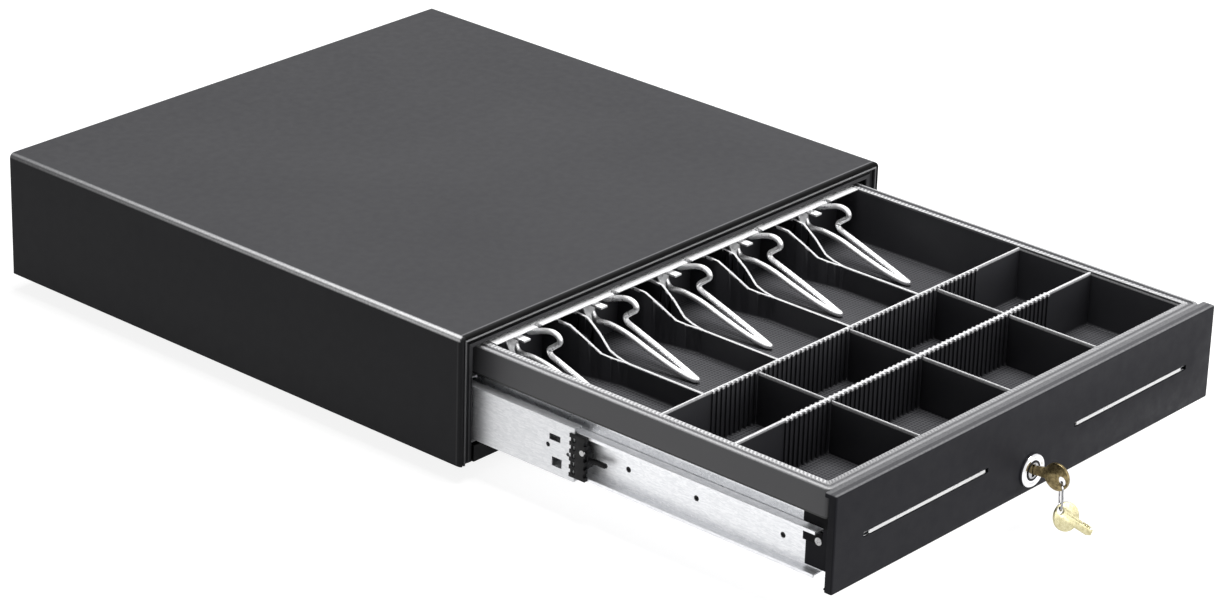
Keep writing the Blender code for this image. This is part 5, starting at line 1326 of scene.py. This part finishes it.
for word, side in SIDES:
    body = f"middle_{word}"
    skin(f"slide_bumper_{word}", BLACK_PLASTIC, 0.0006, segments=3)
    for part, reach, layer in BUMPER_PLATES:
        outline = toothed(MEMBER_FRONT + reach[0], MEMBER_FRONT + reach[1], DATUM[2] + SLIDE_Z - GUARD_RISE,
                          DATUM[2] + SLIDE_Z + GUARD_RISE, TEETH_DEEP)
        faces = sorted(side * (SLIDE_X - u) for u in layer)
        made = plate(f"bumper_{part}_{word}", [outline], *faces, "yz", BLACK_PLASTIC, body, soft=0.00015)
    turned(f"bumper_rivet_{word}", RIVET_PROFILE, on_slide(side, RIVET), (side, 0, 0), RAIL_METAL, body,
           sides=24)
    turned(f"bumper_peg_{word}", PEG_PROFILE, on_slide(side, PEG), (0, 1, 0), BLACK_PLASTIC, body, sides=24)
print("bumper teeth:", TEETH)

# %% [markdown]
# ## The latch
# Behind the drawer a solenoid pulls a hook off the strike plate. Its yoke is plated steel, its winding is
# taped. The winding is a turned bobbin, whose turns are drawn by its material, and the ejector spring is a
# true helix.

# %% Solenoid and ejector spring
YOKE = 0.003
COIL_Z = 0.03
CORE, FLANGE, FLANGE_THICK, PLAY = 0.0105, 0.0135, 0.0015, 0.0001
EJECTOR_RADIUS, EJECTOR_WIRE, EJECTOR_PITCH, EJECTOR_CURLS = 0.0048, 0.0006, 0.0042, 9
coil_low, coil_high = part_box("solenoid")
between = coil_high.y - coil_low.y - 2 * YOKE
inner, outer = PLAY + FLANGE_THICK, between - PLAY - FLANGE_THICK
bobbin = bent_profile([(0, PLAY), (FLANGE, PLAY), (FLANGE, inner), (CORE, inner), (CORE, outer),
                       (FLANGE, outer), (FLANGE, between - PLAY), (0, between - PLAY)], 0.0003)
coil_middle = ((coil_low.x + coil_high.x) / 2, coil_low.y + YOKE, CASE_LOW.z + COIL_Z)
turned("solenoid_winding", bobbin, coil_middle, (0, 1, 0), TAPE, "case")
front, back, low, top = coil_low.y, coil_high.y, coil_low.z, coil_high.z
bracket = [(front, top), (front, low), (back, low), (back, top), (back - YOKE, top),
           (back - YOKE, low + YOKE), (front + YOKE, low + YOKE), (front + YOKE, top)]
plate("solenoid_yoke", [np.array(bracket)], coil_low.x, coil_high.x, "yz", ZINC, "case", "solenoid", 0.0004)
spring_low, spring_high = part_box("ejector_spring")
spring_middle = (spring_low + spring_high) / 2
spring_start = (spring_middle.x, spring_low.y + EJECTOR_WIRE, spring_middle.z)
spring_row = helix(spring_start, (0, 1, 0), EJECTOR_RADIUS, EJECTOR_PITCH, EJECTOR_CURLS)
wire("ejector_coil", spring_row, EJECTOR_WIRE, WIRE, "case", "ejector_spring", 10)
print("winding length, mm:", round(1000 * (outer - inner), 1))

# %% [markdown]
# ## Stage, light and camera
# The photograph is a product shot on white. The floor is pale and keeps a soft shadow; what the camera or a
# mirror sees of it is lifted to white. Two large soft lamps stand above and in front, so the top is lighter
# than the panel and the left side is the darkest. A plain white background would be simpler, but it would
# take the shadow away and the drawer would float.

# %% Floor and world
FLOOR_REACH = 9
FLOOR_LIFT = 0.88
FLOOR_SHADE = 0.3
WORLD_FILL = 0.11


def view_rays(tree):
    """1 for camera, glossy and transmission rays, else 0."""
    path = add_node(tree, "ShaderNodeLightPath")
    total = path.outputs["Is Camera Ray"]
    for kind in ("Is Glossy Ray", "Is Transmission Ray"):
        inputs = {0: total, 1: path.outputs[kind]}
        total = add_node(tree, "ShaderNodeMath", inputs, operation="MAXIMUM").outputs[0]
    return total


floor_data = bpy.data.meshes.new("floor")
corners = [(-1, -1), (1, -1), (1, 1), (-1, 1)]
floor_data.from_pydata([(x * FLOOR_REACH, y * FLOOR_REACH, 0) for x, y in corners], [], [(0, 1, 2, 3)])
floor = linked("floor", floor_data)
floor_material = bpy.data.materials.new("pale_floor")
floor_material.use_nodes = True
tree = floor_material.node_tree
tree.nodes.clear()
shade = add_node(tree, "ShaderNodeBsdfDiffuse", {"Color": (FLOOR_SHADE, FLOOR_SHADE, FLOOR_SHADE, 1)})
lift = add_node(tree, "ShaderNodeMath", {0: view_rays(tree), 1: FLOOR_LIFT}, operation="MULTIPLY")
glow = add_node(tree, "ShaderNodeEmission", {"Strength": lift.outputs[0]})
both = add_node(tree, "ShaderNodeAddShader", {0: shade.outputs[0], 1: glow.outputs[0]})
add_node(tree, "ShaderNodeOutputMaterial", {"Surface": both.outputs[0]})
floor_data.materials.append(floor_material)

world = bpy.data.worlds.new("studio")
world.use_nodes = True
bpy.context.scene.world = world
tree = world.node_tree
background = tree.nodes["Background"]
background.inputs["Color"].default_value = (1, 1, 1, 1)
level = add_node(tree, "ShaderNodeMapRange", {"Value": view_rays(tree), "To Min": WORLD_FILL})
tree.links.new(level.outputs["Result"], background.inputs["Strength"])
print("floor lift:", FLOOR_LIFT, "world fill:", WORLD_FILL)


# %% Lamps
def soft_lamp(name, spot, aim, size, level):
    """A square lamp whose power gives the level at its aim: power = level * pi^2 * distance^2."""
    data = bpy.data.lights.new(name, "AREA")
    data.shape, data.size = "SQUARE", size
    way = Vector(aim) - Vector(spot)
    data.energy = level * math.pi ** 2 * way.length_squared
    lamp = linked(name, data)
    lamp.location = spot
    lamp.rotation_euler = way.to_track_quat("-Z", "Y").to_euler()
    print(name, "watts:", round(data.energy, 1))


soft_lamp("top_lamp", spot=(0.3, -0.1, 2.4), aim=(0, 0, 0.05), size=1.25, level=1.6)
soft_lamp("front_lamp", spot=(0.7, -2.6, 1.1), aim=(0, -0.3, 0.05), size=1.6, level=0.5)

# %% [markdown]
# The camera's angles, distance and length of lens come from a pinhole camera fitted to the straight edges of
# the case and the panel. Back, right and up are its own axes. Setting the axes as a matrix keeps the small
# roll, which aiming the camera at an empty would lose.

# %% Camera
AZIMUTH, ELEVATION, ROLL = (math.radians(angle) for angle in (-48.9, 24.077, 1.755))
DISTANCE = 2.698
TARGET = Vector(on_case((-0.03285, 0.0311, 0.05)))
PHOTO_WIDTH = 1221
FOCAL_PIXELS = 4166.6
SENSOR_WIDTH = 36
level_back = Vector((math.sin(AZIMUTH), -math.cos(AZIMUTH), 0))
back = level_back * math.cos(ELEVATION) + Vector((0, 0, math.sin(ELEVATION)))
right = Vector((0, 0, 1)).cross(back).normalized()
up = back.cross(right)
camera_data = bpy.data.cameras.new("camera")
camera_data.sensor_width = SENSOR_WIDTH
camera_data.lens = FOCAL_PIXELS / PHOTO_WIDTH * SENSOR_WIDTH
camera = linked("camera", camera_data)
rolled_right = right * math.cos(ROLL) + up * math.sin(ROLL)
rolled_up = up * math.cos(ROLL) - right * math.sin(ROLL)
turn = Matrix((rolled_right, rolled_up, back)).transposed().to_4x4()
camera.matrix_world = Matrix.Translation(TARGET + back * DISTANCE) @ turn
bpy.context.scene.camera = camera
bpy.context.scene.view_settings.view_transform = "Standard"
print("lens, mm:", round(camera_data.lens, 1))
